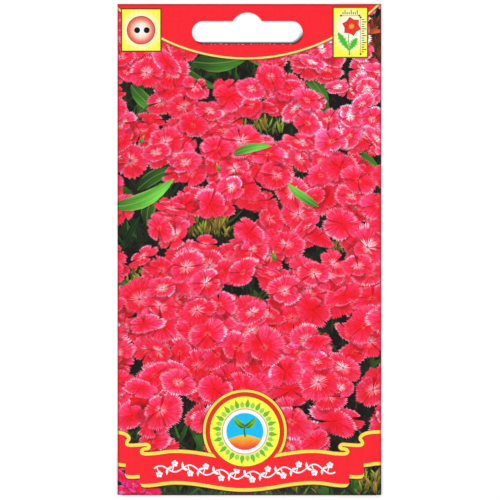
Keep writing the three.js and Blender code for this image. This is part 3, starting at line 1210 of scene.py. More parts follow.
def put_ribbon_vine(blank):
    """A pale vine with leaves and small blossoms along the main panel."""
    pale = scaled_tint(WHITE, 0.97)
    middle_rise = RIBBON_HEIGHT * 0.47

    def at(x, lift):
        return RIBBON_MIDDLE + x, ribbon_low(x) + middle_rise + lift

    def wave(x):
        return 1.15 * math.sin(math.tau * x / 9.4)

    blank.ink(stroke([at(x, wave(x)) for x in spread(27.5, 132)], 0.42), pale)
    for step in range(-11, 12):
        x = step * 2.35
        if step % 2:
            blossom = at(x, wave(x) * 0.2 - math.copysign(1.6, wave(x)))
            blank.ink(stroke([at(x - 0.8, wave(x - 0.8)), blossom], 0.3), pale)
            for petal in range(PETALS):
                angle = math.pi / 2 + math.tau * petal / PETALS
                blank.ink(disc(around(blossom, 0.62, angle), 0.42, 10), pale)
            continue
        rise = math.atan2(wave(x + 0.1) - wave(x - 0.1), 0.2)
        for lean in (-0.95, 0.95):
            leaf = [(way * 2.0, part * 0.8) for way, part in POINTED_LEAF]
            blank.ink(laid(leaf, at(x, wave(x)), rise + lean), pale)


def put_medallion(blank, colours):
    """A round badge with rays and a seedling under a blue sky."""
    centre = BADGE_MIDDLE
    radius = BADGE_RADIUS
    blank.ink(disc(centre, radius + 0.14, 72), colours.rust)
    pale = printed(244, 236, 160)
    tint = radial_tint(centre, (radius, radius), (0.64, pale), (0.86, colours.lemon), (1, colours.lemon))
    for part in (1.0, 0.86, 0.7):
        blank.ink(disc(centre, radius * part, 64), tint)
    rays = 32
    greens = (printed(158, 222, 76), printed(112, 196, 52))
    for ray in range(rays):
        angle = math.tau * (ray + 0.5) / rays
        tip = (9.2, 10.0)[ray % 2]
        shape = ((7.35, 0.05), (8.3, 0.085), (tip, 0.0), (8.3, -0.085), (7.35, -0.05))
        blank.ink([around(centre, out, angle + turn) for out, turn in shape], greens[ray % 2])
    for ring, tint in ((6.88, printed(168, 132, 84)), (6.72, WHITE), (SKY_RADIUS, colours.sky)):
        blank.ink(disc(centre, ring, 60), tint)
    top = curve_through(moved([(5.0, -2.3), (0, -1.0), (-5.0, -2.3)], *centre))
    hill = [*arc(centre, SKY_RADIUS, 205, 335, 26), *top[1:-1]]
    blank.ink(hill, rising_tint(centre[1], -5.0, -1.0, printed(246, 46, 54), printed(255, 206, 60)))
    stem = curve_through(moved([(0.1, -1.6), (-0.2, 0.4), (0.1, 1.6)], *centre))
    blank.ink(stroke(stem, 0.6, 0.4), printed(40, 140, 50))
    foot = (centre[0] + 0.05, centre[1] + 1.2)
    for side in (-1, 1):
        angle = math.pi / 2 - side * 0.85
        put_leaf(blank, foot, 4.4, 2.1, angle, -side * 0.35, printed(90, 190, 50), shadow=False)


def put_front_badges(blank, colours):
    """The rim of the badge, the ribbon over it and the badge over both."""
    centre = BADGE_MIDDLE
    blank.shadow(disc((centre[0] + 0.1, centre[1] - 0.2), 13.1, 72), 0.6)
    for ring, tint in ((12.85, colours.rust), (12.7, colours.edging), (11.9, colours.rust)):
        blank.ink(disc(centre, ring, 80), tint)
    put_ribbon(blank, colours)
    blank.ink(disc(centre, 11.74, 80), rising_tint(0, -66, -60, colours.field, printed(234, 56, 42)))
    put_medallion(blank, colours)


def put_edge_shades(blank):
    """A thin soft shade along the front's four sides, where the paper turns down."""
    for width, shade in ((0.62, 0.86), (0.36, 0.66)):
        inner = HALF_WIDTH - width
        for side in (-1, 1):
            rim = [(side * inner, -HALF_HEIGHT - 1), (side * HALF_WIDTH, -HALF_HEIGHT - 1)]
            blank.shadow([*rim, *moved(rim, 0, 2 * HALF_HEIGHT + 2)[::-1]], shade)
            end = side * HALF_HEIGHT
            rim = [(-inner, end), (inner, end)]
            blank.shadow([*rim, *moved(rim, 0, -side * width)[::-1]], shade)


def put_slot_wear(blank, slot, rng):
    """A painted shade along the lip under the slot, standing in for the shadow there, with thin pale flecks
    where the punch has lifted the print.
    """
    # Two steps of painted shade, darkest right under the slot's lower edge
    for right, down, shade in ((0.16, 0.5, 0.72), (0.1, 0.24, 0.42)):
        blank.shadow(slot.outline(right, -down), shade)
    x = slot.middle[0] - slot.straight
    while x < slot.middle[0] + slot.straight:
        size = rng.uniform(0.3, 1.3)
        y = slot.low - rng.uniform(0.12, 0.26)
        half = rng.uniform(0.05, 0.1)
        fleck = [(x, y), (x + size * 0.4, y - half), (x + size, y + 0.02), (x + size * 0.5, y + half)]
        pale = rng.uniform(110, 185)
        blank.ink(fleck, printed(255, pale, pale + 8))
        x += size + rng.choice((0.2, 0.6, 1.6)) * rng.uniform(0.6, 1.2)


# ---------------------------------------------------------------- the back

NUMERALS = {
    "0": [[(0, 0), (2, 0), (2, 4), (0, 4), (0, 0)]],
    "1": [[(0.3, 3.2), (1.2, 4), (1.2, 0)]],
    "2": [[(0, 4), (2, 4), (2, 2), (0, 2), (0, 0), (2, 0)]],
    "3": [[(0, 4), (2, 4), (2, 0), (0, 0)], [(0.4, 2), (2, 2)]],
    "4": [[(0, 4), (0, 2), (2, 2)], [(2, 4), (2, 0)]],
    "5": [[(2, 4), (0, 4), (0, 2), (2, 2), (2, 0), (0, 0)]],
    "6": [[(2, 4), (0, 4), (0, 0), (2, 0), (2, 2), (0, 2)]],
    "7": [[(0, 4), (2, 4), (0.8, 0)]],
    "8": [[(0, 0), (2, 0), (2, 4), (0, 4), (0, 0)], [(0, 2), (2, 2)]],
    "9": [[(2, 2), (0, 2), (0, 4), (2, 4), (2, 0), (0, 0)]],
}

MONTHS = 12
MONTH_WIDTH = 5.4
# The frame on the back: half its width, its lowest and its highest line
FRAME_HALF = 34.0
FRAME_LOW, FRAME_HIGH = -58.0, 52.0


def put_number(blank, number, centre, height, tint):
    """A plain number, drawn with straight strokes."""
    unit = height / 4
    word = str(number)
    advance = 3.1 * unit
    start = centre[0] - (len(word) * advance - 1.1 * unit) / 2
    bottom = centre[1] - height / 2
    for place, numeral in enumerate(word):
        left = start + place * advance
        for line in NUMERALS[numeral]:
            points = [(left + x * unit, bottom + y * unit) for x, y in line]
            for a, b in zip(points, points[1:]):
                over = unit * 0.3 / math.dist(a, b)
                blank.ink(stroke([lerp_each(a, b, -over), lerp_each(a, b, 1 + over)], unit * 0.6), tint)


def put_calendar(blank, middle, bottom, colours):
    """Twelve numbered months, with a bar for sowing and a bar for flowering."""
    cell = MONTH_WIDTH
    left = middle - MONTHS * cell / 2
    blank.ink(rectangle(left - 0.2, bottom - 0.2, left + MONTHS * cell + 0.2, bottom + 9.2), colours.line)
    for month in range(MONTHS):
        x = left + month * cell
        blank.ink(rectangle(x + 0.1, bottom + 4.6, x + cell - 0.1, bottom + 9), colours.edging)
        blank.ink(rectangle(x + 0.1, bottom + 0.1, x + cell - 0.1, bottom + 4.4), WHITE)
        put_number(blank, month + 1, (x + cell / 2, bottom + 6.8), 2.3, colours.line)
    for first, last, low, high, tint in (
        (4, 7, 2.6, 3.7, scaled_tint(colours.leaf, 0.8)),
        (5, 8, 0.9, 2.0, colours.field),
    ):
        blank.ink(rectangle(left + first * cell, bottom + low, left + last * cell, bottom + high), tint)


def put_back_flower(blank, middle, colours):
    """One large even flower on a stem with two leaves."""
    stem = curve_through([(middle + 0.5, 22.5), (middle - 0.6, 27), (middle, 33)])
    blank.ink(stroke(stem, 0.9, 0.6), scaled_tint(colours.leaf, 0.5))
    green = scaled_tint(colours.leaf, 0.8)
    for side in (-1, 1):
        angle = math.pi / 2 - side * 0.8
        put_leaf(blank, (middle, 24), 10, 2.8, angle, -side * 0.8, green, shadow=False)
    flower = Flower(
        centre=(middle, 39.5),
        radius=9.0,
        turn=math.pi / 2,
        tilt=1.0,
        tilt_way=0.0,
        tone=(1.0, 1.0, 1.0),
        marking=1.0,
        pattern=12.0,
    )
    put_flower(blank, random.Random(5), flower, 10, 0.0, even=True)


def put_sun(blank, centre, _):
    """The sign for a sunny place."""
    rays = 12
    for ray in range(rays):
        angle = math.tau * ray / rays
        line = [around(centre, reach, angle) for reach in (3.6, 5.2)]
        blank.ink(stroke(line, 0.5), printed(250, 150, 30))
    blank.ink(disc(centre, 2.8), printed(255, 190, 40))


def put_drop(blank, centre, colours):
    """The sign for watering."""
    x, y = centre
    blank.ink([*arc((x, y - 1.2), 2.8, 150, 390, 24), (x, y + 5)], colours.sky)


def put_sowing_depth(blank, centre, colours):
    """The sign for how deep a seed is sown."""
    x, y = centre
    blank.ink(rectangle(x - 5.5, y - 5, x + 5.5, y - 0.5), printed(130, 85, 50))
    blank.ink(disc((x, y - 2.8), 0.8, 20), colours.edging)
    put_measure(blank, (x + 2.4, y - 2.8), (x + 2.4, y - 0.5), -1, 3, colours)


def put_back(blank, folding, colours):
    """The back's print: a header like the front's, a flower, a calendar, three signs and ruled lines."""
    right = -folding.fold_x - FOLD / 2
    left = folding.blank_left - 1
    middle = (folding.blank_left + right) / 2
    blank.ink(rectangle(left, -HALF_HEIGHT - 1, right, HALF_HEIGHT + 1), colours.cream)
    put_header(blank, middle, left, right, colours)
    half = FRAME_HALF
    for inset, tint in ((0.0, colours.field), (0.35, colours.cream)):
        low, high = FRAME_LOW + inset, FRAME_HIGH - inset
        blank.ink(rectangle(middle - half + inset, low, middle + half - inset, high), tint)
    put_back_flower(blank, middle, colours)
    put_calendar(blank, middle, 8, colours)
    for x, put_sign in ((-20, put_sun), (0, put_drop), (20, put_sowing_depth)):
        put_icon_ground(blank, (middle + x - 7, -12, middle + x + 7, 3), colours)
        put_sign(blank, (middle + x, -4.5), colours)
    for row in range(9):
        y = -19 - row * 4
        blank.ink(rectangle(middle - half + 4, y, middle + half - 4, y + 0.2), printed(200, 180, 160))


def put_flap_and_lap(blank, folding, colours):
    """The bottom flap's print, with a red and a yellow line along its fold, and the bare lap."""
    under = folding.fold_y - FOLD / 2
    for low, high, tint in (
        (folding.blank_low - 1, under, colours.cream),
        (under - 3.0, under, colours.field),
        (under - 3.6, under - 3.0, colours.edging),
    ):
        blank.ink(rectangle(-HALF_WIDTH, low, HALF_WIDTH, high), tint)
    lap = rectangle(folding.fold_x + FOLD + 0.6, -HALF_HEIGHT - 1, 2 * HALF_WIDTH, HALF_HEIGHT + 1)
    blank.ink(lap, WHITE, material=BARE)


def draw_blank(folding, slot, picture, colours):
    """The whole print, with painted shade along the front's sides and under the slot, and the holes of the
    hang slot.
    """
    blank = PrintedBlank()
    blank.put(folding.outline(), tint=WHITE, material=BARE)
    put_picture(blank, picture, colours)
    put_header(blank, 0, -HALF_WIDTH - 1, HALF_WIDTH + 1, colours)
    put_two_year_icon(blank, colours)
    put_size_icon(blank, colours)
    put_front_badges(blank, colours)
    put_edge_shades(blank)
    put_back(blank, folding, colours)
    put_flap_and_lap(blank, folding, colours)
    wear = random.Random(3)
    put_slot_wear(blank, slot, wear)
    blank.hole(slot.outline(wear=wear))
    blank.hole(slot.on_back(folding))
    return blank


# ---------------------------------------------------------------- the mesh of the sheet

# Share of the texture's width for the printed side, the inside and the cut edges, and the texture's margin
PRINT_SHARE = 0.955
INSIDE_START, INSIDE_END = 0.962, 0.984
EDGE_START, EDGE_END = 0.988, 0.996
TEXTURE_MARGIN = 0.004
# Points that are closer together than this become one
MERGE = 1e-4
# How far apart the places that shape the pouch are, on the printed side and on the inside
POUCH_STEP = 4.0
BARE_STEP = 5.0
# Where the inside's mesh follows the slot, as shares of the way from the back layer's slot to the front's
SLOT_STEPS = (0.25, 0.5, 0.75, 1.0, 1.6)
# A corner that takes its normal from its own face
OWN_NORMAL = Vector((0, 0, 0))


@dataclass
class SheetMesh:
    """Corners, faces and what each face's corners carry, ready for one mesh."""

    places: list = field(default_factory=list)
    faces: list = field(default_factory=list)
    materials: list = field(default_factory=list)
    smooth: list = field(default_factory=list)
    tints: list = field(default_factory=list)
    spots: list = field(default_factory=list)
    uvs: list = field(default_factory=list)
    normals: list = field(default_factory=list)

    def add_face(self, corners, material, smooth=True):
        self.faces.append(corners)
        self.materials.append(material)
        self.smooth.append(smooth)

    def add_corner(self, tint, marking, spot, uv, normal=OWN_NORMAL):
        self.tints.extend((*tint, marking))
        self.spots.extend(spot)
        self.uvs.extend(uv)
        self.normals.append(normal)


def add_guides(points, folding):
    """The points of the guide lines, added to points, and the lines as pairs of them."""
    edges = []
    for start, end in folding.guide_lines():
        edges.append((len(points), len(points) + 1))
        points.extend((start, end))
    return edges


def cut_print(blank, folding):
    """Cuts the blank along every outline, and keeps only the edges where what shows changes.

    Gives the corners and the edges, each as its two corners and what shows left and right of it. What
    shows is the number of the topmost layer and how shaded it is, or None off the blank.
    """
    points = list(blank.points)
    guides = add_guides(points, folding)
    result = delaunay_2d_cdt([Vector(p) for p in points], guides, blank.outlines, 1, MERGE, True)
    places, edges, faces, _, edge_sources, face_sources = result
    left_of = {}
    for face, sources in zip(faces, face_sources):
        if 0 not in sources or any(blank.layers[k].kind == "hole" for k in sources):
            continue
        top = max(k for k in sources if blank.layers[k].kind == "ink")
        shade = math.prod(blank.layers[k].shade for k in sources if k > top)
        for side in sides_of(face):
            left_of[side] = (top, round(shade, 2))
    kept = []
    for (a, b), sources in zip(edges, edge_sources):
        left, right = left_of.get((a, b)), left_of.get((b, a))
        on_guide = left is not None and any(k < len(guides) for k in sources)
        if left != right or on_guide:
            kept.append([a, b, left, right])
    return places, without_idle_corners(places, kept)


def without_idle_corners(places, edges):
    """The edges with each two in one straight line joined, where nothing else meets them."""
    at = {}
    for number, edge in enumerate(edges):
        for corner in edge[:2]:
            at.setdefault(corner, set()).add(number)
    gone = set()
    for corner, numbers in at.items():
        if len(numbers) != 2:
            continue
        one, other = sorted(numbers)
        before = edges[one] if edges[one][1] == corner else turned_edge(edges[one])
        after = edges[other] if edges[other][0] == corner else turned_edge(edges[other])
        a, b = before[0], after[1]
        bend = abs((places[corner] - places[a]).cross(places[b] - places[corner]))
        bent = bend > MERGE * (places[b] - places[a]).length
        if a == b or bent or before[2:] != after[2:]:
            continue
        edges[one] = [a, b, *before[2:]]
        gone.add(other)
        at[b].discard(other)
        at[b].add(one)
    return [edge for number, edge in enumerate(edges) if number not in gone]


def turned_edge(edge):
    a, b, left, right = edge
    return [b, a, right, left]


def partition_print(blank, folding):
    """Triangles that cover the blank, each with the topmost layer over it and how shaded it is."""
    corners, edges = cut_print(blank, folding)
    renumbered = {}
    for edge in edges:
        for corner in edge[:2]:
            renumbered.setdefault(corner, len(renumbered))
    points = [corners[k] for k in renumbered]
    points.extend(Vector(p) for p in folding.pouch_points(POUCH_STEP))
    lines = [(renumbered[a], renumbered[b]) for a, b, _, _ in edges]
    places, joins, faces, _, join_sources, _ = delaunay_2d_cdt(points, lines, [], 0, MERGE, True)
    left_of = {}
    for (a, b), sources in zip(joins, join_sources):
        for k in sources:
            start, end, left, right = edges[k]
            if (places[b] - places[a]).dot(corners[end] - corners[start]) < 0:
                left, right = right, left
            left_of[a, b], left_of[b, a] = left, right
    beside = {side: number for number, face in enumerate(faces) for side in sides_of(face)}
    shows = {}
    for side, number in beside.items():
        if side in left_of:
            shows[number] = left_of[side]
    spreading = list(shows)
    while spreading:
        number = spreading.pop()
        for a, b in sides_of(faces[number]):
            other = beside.get((b, a))
            if (a, b) not in left_of and other is not None and other not in shows:
                shows[other] = shows[number]
                spreading.append(other)
    triangles = []
    for number, face in enumerate(faces):
        if shows.get(number) is not None:
            top, shade = shows[number]
            triangles.append((face, blank.layers[top], shade))
    return places, triangles


def rim_edges(triangles):
    """Edges of the triangles that only one of them has, in that one's direction."""
    seen = set()
    for face in triangles:
        seen.update(sides_of(face))
    return [(a, b) for a, b in seen if (b, a) not in seen]


def chain(edges):
    """Joins edges end to end into closed loops."""
    following = dict(sorted(edges))
    loops = []
    while following:
        start, place = next(iter(following.items()))
        del following[start]
        loop = [start]
        while place != start:
            loop.append(place)
            place = following.pop(place)
        loops.append(loop)
    return loops


def gap_shade(folding, slot, s, t):
    """How much light reaches the inside under the lifted lower edge of the front's slot."""
    depth, lowness, past_end = slot.inside(folding, s, t)
    ending = smooth_step(0, 1.2, past_end)
    low_side = smooth_step(-0.25, 0.6, lowness)
    return 1 - 0.97 * low_side * (1 - smooth_step(lerp(0.1, 0.0, ending), lerp(0.85, 1.45, ending), depth))


def texture_place(folding, s, t):
    """Where a place of the printed side lies on the texture."""
    scale = PRINT_SHARE / (folding.blank_right - folding.blank_left)
    right, up = s - folding.blank_left, t - folding.blank_low
    return TEXTURE_MARGIN + right * scale, TEXTURE_MARGIN + up * scale


def add_printed_side(sheet, folding, blank):
    """Adds the printed side, and gives where on the blank its corners are."""
    places, triangles = partition_print(blank, folding)
    flat = []
    facing = []
    used = {}
    for face, layer, shade in triangles:
        corners = []
        for corner in face:
            s, t = places[corner]
            if corner not in used:
                used[corner] = len(flat)
                flat.append((s, t))
                facing.append(folding.outward(s, t))
            number = used[corner]
            corners.append(number)
            tint = shaded_tint(layer.colour(s, t), shade)
            uv = texture_place(folding, s, t)
            sheet.add_corner(tint, layer.marking, layer.spot(s, t), uv, facing[number])
        sheet.add_face(corners, layer.material)
    return flat


def add_inside(sheet, folding, slot, rim, outlines, first):
    """Adds the inside, between the outlines of the rim, its corners numbered from the first one.

    Gives where on the blank its corners are, and the corner that each point of the rim became.
    """
    points = list(rim)
    guides = add_guides(points, folding)
    points.extend(folding.pouch_points(BARE_STEP))
    for step in SLOT_STEPS:
        points.extend(slot.on_back(folding, 1 - step))
    areas = [loop_area([points[k] for k in outline]) for outline in outlines]
    rings = [outline if area > 0 else outline[::-1] for outline, area in zip(outlines, areas)]
    result = delaunay_2d_cdt([Vector(p) for p in points], guides, rings, 1, MERGE, True)
    places, _, faces, sources, _, face_sources = result
    outer_ring = [areas.index(max(areas))]
    for face, rings_around in zip(faces, face_sources):
        if rings_around != outer_ring:
            continue
        turned = face[::-1]
        sheet.add_face([first + corner for corner in turned], BARE)
        for corner in turned:
            s, t = places[corner]
            tint = scaled_tint(WHITE, gap_shade(folding, slot, s, t))
            way = (s - folding.blank_left) / (folding.blank_right - folding.blank_left)
            uv = (lerp(INSIDE_START, INSIDE_END, way), texture_place(folding, s, t)[1])
            sheet.add_corner(tint, 1, (s, t, 0), uv)
    became = {k: first + corner for corner, inputs in enumerate(sources) for k in inputs if k < len(rim)}
    return places, became


def add_cut_edges(sheet, loops, outlines, became):
    """Adds the cut edges, between the loops of the rim and what their points became on the inside."""
    total = sum(len(loop) for loop in loops)
    along = 0
    for loop, outline in zip(loops, outlines):
        inner_loop = [became[k] for k in outline]
        for (outside, next_outside), (inside, next_inside) in zip(sides_of(loop), sides_of(inner_loop)):
            quad = [next_outside, outside, inside, next_inside]
            if len(set(quad)) < 4:
                continue
            sheet.add_face(quad, CUT, smooth=False)
            start, end = along / total, (along + 1) / total
            along += 1
            for uv in ((EDGE_START, end), (EDGE_START, start), (EDGE_END, start), (EDGE_END, end)):
                sheet.add_corner(WHITE, 1, (0, 0, 0), uv)


def build_sheet(folding, slot, blank):
    """The folded sheet: its printed side, its inside and the cut edges between them."""
    sheet = SheetMesh()
    flat = add_printed_side(sheet, folding, blank)
    loops = chain(rim_edges(sheet.faces))
    rim = []
    outlines = []
    for loop in loops:
        outlines.append(list(range(len(rim), len(rim) + len(loop))))
        rim.extend(flat[k] for k in loop)
    inner_flat, became = add_inside(sheet, folding, slot, rim, outlines, len(flat))
    add_cut_edges(sheet, loops, outlines, became)
    outside = [folding.printed_side(s, t) for s, t in flat]
    inside = [folding.bare_side(s, t) for s, t in inner_flat]
    drop_empty_parts(sheet, [tuple(place * MM) for place in (*outside, *inside)])
    return sheet


def drop_empty_parts(sheet, places):
    """Gives the sheet its places, without those that no face uses."""
    used = sorted({corner for face in sheet.faces for corner in face})
    renumbered = {corner: number for number, corner in enumerate(used)}
    sheet.faces = [[renumbered[corner] for corner in face] for face in sheet.faces]
    sheet.places = [places[corner] for corner in used]


def new_object(name, data):
    """An object of the data, put into the scene."""
    made = bpy.data.objects.new(name, data)
    bpy.context.scene.collection.objects.link(made)
    return made


def sheet_object(name, sheet, materials):
    """A Blender object of the folded sheet."""
    mesh = bpy.data.meshes.new(name)
    mesh.from_pydata(sheet.places, [], sheet.faces)
    for material in materials:
        mesh.materials.append(material)
    mesh.polygons.foreach_set("material_index", sheet.materials)
    mesh.polygons.foreach_set("use_smooth", sheet.smooth)
    tint = mesh.attributes.new("tint", "FLOAT_COLOR", "CORNER")
    tint.data.foreach_set("color", sheet.tints)
    spot = mesh.attributes.new("spot", "FLOAT_VECTOR", "CORNER")
    spot.data.foreach_set("vector", sheet.spots)
    unwrap = mesh.uv_layers.new(name="OFBake")
    unwrap.data.foreach_set("uv", sheet.uvs)
    mesh.normals_split_custom_set(sheet.normals)
    mesh.update()
    return new_object(name, mesh)


# ---------------------------------------------------------------- finishes


class Finish:
    """A material with short calls for its nodes."""

    def __init__(self, name, roughness, specular=0.5):
        self.material = bpy.data.materials.new(name)
        self.material.use_nodes = True
        self.nodes = self.material.node_tree.nodes
        self.links = self.material.node_tree.links
        self.shader = self.nodes["Principled BSDF"]
        self.shader.inputs["Roughness"].default_value = roughness
        self.shader.inputs["Specular IOR Level"].default_value = specular

    def feed(self, socket, value):
        if isinstance(value, bpy.types.NodeSocket):
            self.links.new(value, socket)
        elif value is not None:
            socket.default_value = value

    def math(self, operation, a, b=None, clamped=False):
        node = self.nodes.new("ShaderNodeMath")
        node.operation = operation
        node.use_clamp = clamped
        self.feed(node.inputs[0], a)
        self.feed(node.inputs[1], b)
        return node.outputs[0]

    def between(self, value, low, high, start=0.0, end=1.0):
        """value's place between low and high, smoothed, as a number between start and end."""
        node = self.nodes.new("ShaderNodeMapRange")
        node.interpolation_type = "SMOOTHSTEP"
        for socket, given in zip(node.inputs, (value, low, high, start, end)):
            self.feed(socket, given)
        return node.outputs[0]

    def mix(self, way, a, b, blend="MIX"):
        node = self.nodes.new("ShaderNodeMix")
        node.data_type = "RGBA"
        node.blend_type = blend
        self.feed(node.inputs["Factor"], way)
        self.feed(node.inputs[6], opaque(a))
        self.feed(node.inputs[7], opaque(b))
        return node.outputs[2]

    def vector(self, x, y, z):
        node = self.nodes.new("ShaderNodeCombineXYZ")
        for socket, given in zip(node.inputs, (x, y, z)):
            self.feed(socket, given)
        return node.outputs[0]

    def parts(self, vector):
        node = self.nodes.new("ShaderNodeSeparateXYZ")
        self.feed(node.inputs[0], vector)
        return node.outputs

    def attribute(self, name):
        node = self.nodes.new("ShaderNodeAttribute")
        node.attribute_name = name
        return node.outputs

    def object_place(self):
        return self.nodes.new("ShaderNodeTexCoord").outputs["Object"]

    def noise(self, scale, detail=2.0, roughness=0.5, vector=None):
        """Noise over the object, or over the vector if one is given."""
        vector = self.object_place() if vector is None else vector
        node = self.nodes.new("ShaderNodeTexNoise")
        self.feed(node.inputs["Vector"], vector)
        node.inputs["Scale"].default_value = scale
        node.inputs["Detail"].default_value = detail
        node.inputs["Roughness"].default_value = roughness
        return node.outputs["Fac"]

    def times(self, a, b):
        return self.math("MULTIPLY", a, b)

    def plus(self, a, b):
        return self.math("ADD", a, b)

    def minus(self, a, b):
        return self.math("SUBTRACT", a, b)

    def squared(self, a):
        return self.math("POWER", a, 2.0)

    def scaled(self, colour, light):
        """The colour times the light."""
        return self.mix(1.0, colour, self.vector(light, light, light), "MULTIPLY")

    def stretched(self, x, y, z):
        node = self.nodes.new("ShaderNodeMapping")
        self.feed(node.inputs["Vector"], self.object_place())
        node.inputs["Scale"].default_value = (x, y, z)
        return node.outputs[0]

    def bump(self, height, strength, distance):
        node = self.nodes.new("ShaderNodeBump")
        node.inputs["Strength"].default_value = strength
        node.inputs["Distance"].default_value = distance
        self.feed(node.inputs["Height"], height)
        self.links.new(node.outputs[0], self.shader.inputs["Normal"])

    def paint(self, colour):
        self.feed(self.shader.inputs["Base Color"], opaque(colour))
        return self.material


def opaque(colour):
    if isinstance(colour, bpy.types.NodeSocket):
        return colour
    return (*colour[:3], 1.0)


def coated(name):
    """The smooth, half-gloss face of the printed paper, with its slight tooth and long soft waves."""
    finish = Finish(name, 0.36, 0.3)
    tooth = finish.noise(2600, 3)
    waves = finish.noise(45, 1)
    height = finish.plus(finish.times(tooth, 0.004), finish.times(waves, 0.5))
    finish.bump(height, 0.12, 0.0006)
    return finish


def flat_ink():
    """Even ink in the tint of its shape, with the faint upright grain of the press."""
    finish = coated("flat_ink")
    grain = finish.noise(1, 1, vector=finish.stretched(1500, 14, 1))
    fine = finish.noise(900, 2)
    press = finish.between(finish.plus(grain, fine), 0.6, 1.4, 0.955, 1.03)
    tint = finish.attribute("tint")["Color"]
    return finish.paint(finish.scaled(tint, press))


def petal_ink(colours):
    """A pink's petal: a star of pale streaks, deep folds, fine light lines and pale teeth on its rim."""
    finish = coated("petal_ink")
    spot = finish.attribute("spot")["Vector"]
    tint = finish.attribute("tint")
    along, across, pattern = finish.parts(spot)
    reach = finish.math("SQRT", finish.plus(finish.squared(along), finish.squared(across)))
    turn = finish.math("ARCTAN2", across, along)

    def streaks(turns, outs, offset, detail):
        """Noise drawn out along the petal, so that it makes streaks from the eye to the rim."""
        drawn_out = (finish.times(turn, turns), finish.times(reach, outs), finish.plus(pattern, offset))
        return finish.noise(1.0, detail, vector=finish.vector(*drawn_out))

    own = finish.math("FRACT", finish.times(pattern, 0.377))
    broad = streaks(4.0, 1.6, 0.0, 2.0)
    veins = streaks(19.0, 0.9, 40.0, 1.0)
    spikes = streaks(18.0, 0.2, 80.0, 0.0)
    hairs = streaks(32.0, 0.8, 120.0, 0.0)
    mottle = finish.noise(1500, 2)

    outness = finish.between(finish.plus(reach, finish.times(broad, 0.7)), 0.55, 1.3)
    colour = finish.mix(outness, colours.petal, colours.petal_rim)
    colour = finish.mix(finish.between(broad, 0.3, 0.54, 0.85, 0.0), colour, colours.petal_fold)
    shine = finish.times(finish.between(veins, 0.48, 0.64, 0.0, 0.55), finish.between(reach, 0.3, 0.9))
    colour = finish.mix(shine, colour, colours.petal_shine)
    lines = finish.between(veins, 0.34, 0.5, 0.74, 1.02)
    light = finish.times(lines, finish.between(mottle, 0.35, 0.65, 0.76, 1.16))
    pinker = finish.vector(finish.math("POWER", light, 0.2), light, light)
    colour = finish.mix(1.0, colour, pinker, "MULTIPLY")

    streak_end = finish.between(spikes, 0.36, 0.7, 0.05, 0.5)
    streak_end = finish.times(streak_end, finish.between(tint["Alpha"], 0.0, 1.0, 0.5, 1.0))
    streak = finish.math("DIVIDE", finish.minus(streak_end, reach), 0.13, clamped=True)
    streak = finish.times(streak, tint["Alpha"])
    colour = finish.mix(streak, colour, colours.eye)

    turn_share = finish.math("DIVIDE", turn, PETAL_SPREAD)
    roundness = finish.plus(1.0, finish.times(finish.squared(turn_share), 0.09))
    rim_start = finish.between(hairs, 0.32, 0.68, 0.98, 0.81)
    past_start = finish.minus(finish.times(reach, roundness), rim_start)
    rim = finish.math("DIVIDE", past_start, 0.1, clamped=True)
    fringe = finish.times(rim, finish.between(own, 0.0, 1.0, 0.15, 1.0))
    side = finish.between(finish.math("ABSOLUTE", turn_share), 0.88, 0.97, 0.0, 0.3)
    side = finish.times(side, finish.between(reach, 0.4, 0.8))
    colour = finish.mix(finish.math("MAXIMUM", fringe, side), colour, colours.fringe)

    throat = finish.between(reach, 0.035, 0.085, 0.85, 0.0)
    colour = finish.mix(throat, colour, colours.throat)
    return finish.paint(finish.mix(1.0, colour, tint["Color"], "MULTIPLY"))


def leaf_ink(colours):
    """A leaf or bract: pale midrib and edges where it is broad, and fine streaks along it."""
    finish = coated("leaf_ink")
    spot = finish.attribute("spot")["Vector"]
    tint = finish.attribute("tint")
    along, across, pattern = finish.parts(spot)
    drawn_out = finish.vector(finish.times(along, 1.5), finish.times(across, 6.0), pattern)
    streak = finish.noise(1.0, vector=drawn_out)
    half = finish.between(across, -0.7, 0.7, 1.06, 0.74)
    light = finish.times(half, finish.between(streak, 0.3, 0.7, 0.72, 1.16))
    light = finish.times(light, finish.between(along, -1.0, 0.6, 0.36, 1.12))
    colour = finish.scaled(tint["Color"], light)
    from_middle = finish.math("ABSOLUTE", across)
    midrib = finish.between(from_middle, 0.02, 0.12, 0.4, 0.0)
    edges = finish.between(from_middle, 0.65, 0.95, 0.0, 0.4)
    pale = finish.times(finish.math("MAXIMUM", midrib, edges), tint["Alpha"])
    return finish.paint(finish.mix(pale, colour, colours.leaf_edge))


def ground_ink(colours):
    """The dark thicket behind the flowers, with stems and patches of green and brown."""
    finish = coated("ground_ink")
    patches = finish.noise(1, 3, vector=finish.stretched(170, 150, 1))
    stems = finish.noise(1, 2, vector=finish.stretched(900, 120, 1))
    specks = finish.noise(1100, 2)
    colour = finish.mix(finish.between(patches, 0.47, 0.66), colours.thicket, colours.moss)
    colour = finish.mix(finish.between(stems, 0.56, 0.72, 0.0, 0.6), colour, printed(70, 76, 40))
    colour = finish.mix(finish.between(specks, 0.6, 0.72, 0.0, 0.7), colour, printed(110, 26, 44))
    return finish.paint(colour)


def bare_paper():
    """The uncoated side of the paper, with faint fibres."""
    finish = Finish("bare_paper", 0.8, 0.25)
    fibres = finish.noise(1, 3, 0.7, finish.stretched(500, 1500, 1))
    light = finish.between(fibres, 0.3, 0.7, 0.95, 1.0)
    finish.bump(fibres, 0.15, 0.0001)
    tint = finish.attribute("tint")["Color"]
    return finish.paint(finish.scaled(tint, light))


def cut_paper():
    """The core of the paper where the knife went through."""
    finish = Finish("cut_paper", 0.85, 0.2)
    fibres = finish.noise(6000, 2)
    core = finish.mix(finish.between(fibres, 0.35, 0.65), printed(214, 206, 202), printed(240, 236, 232))
    return finish.paint(core)


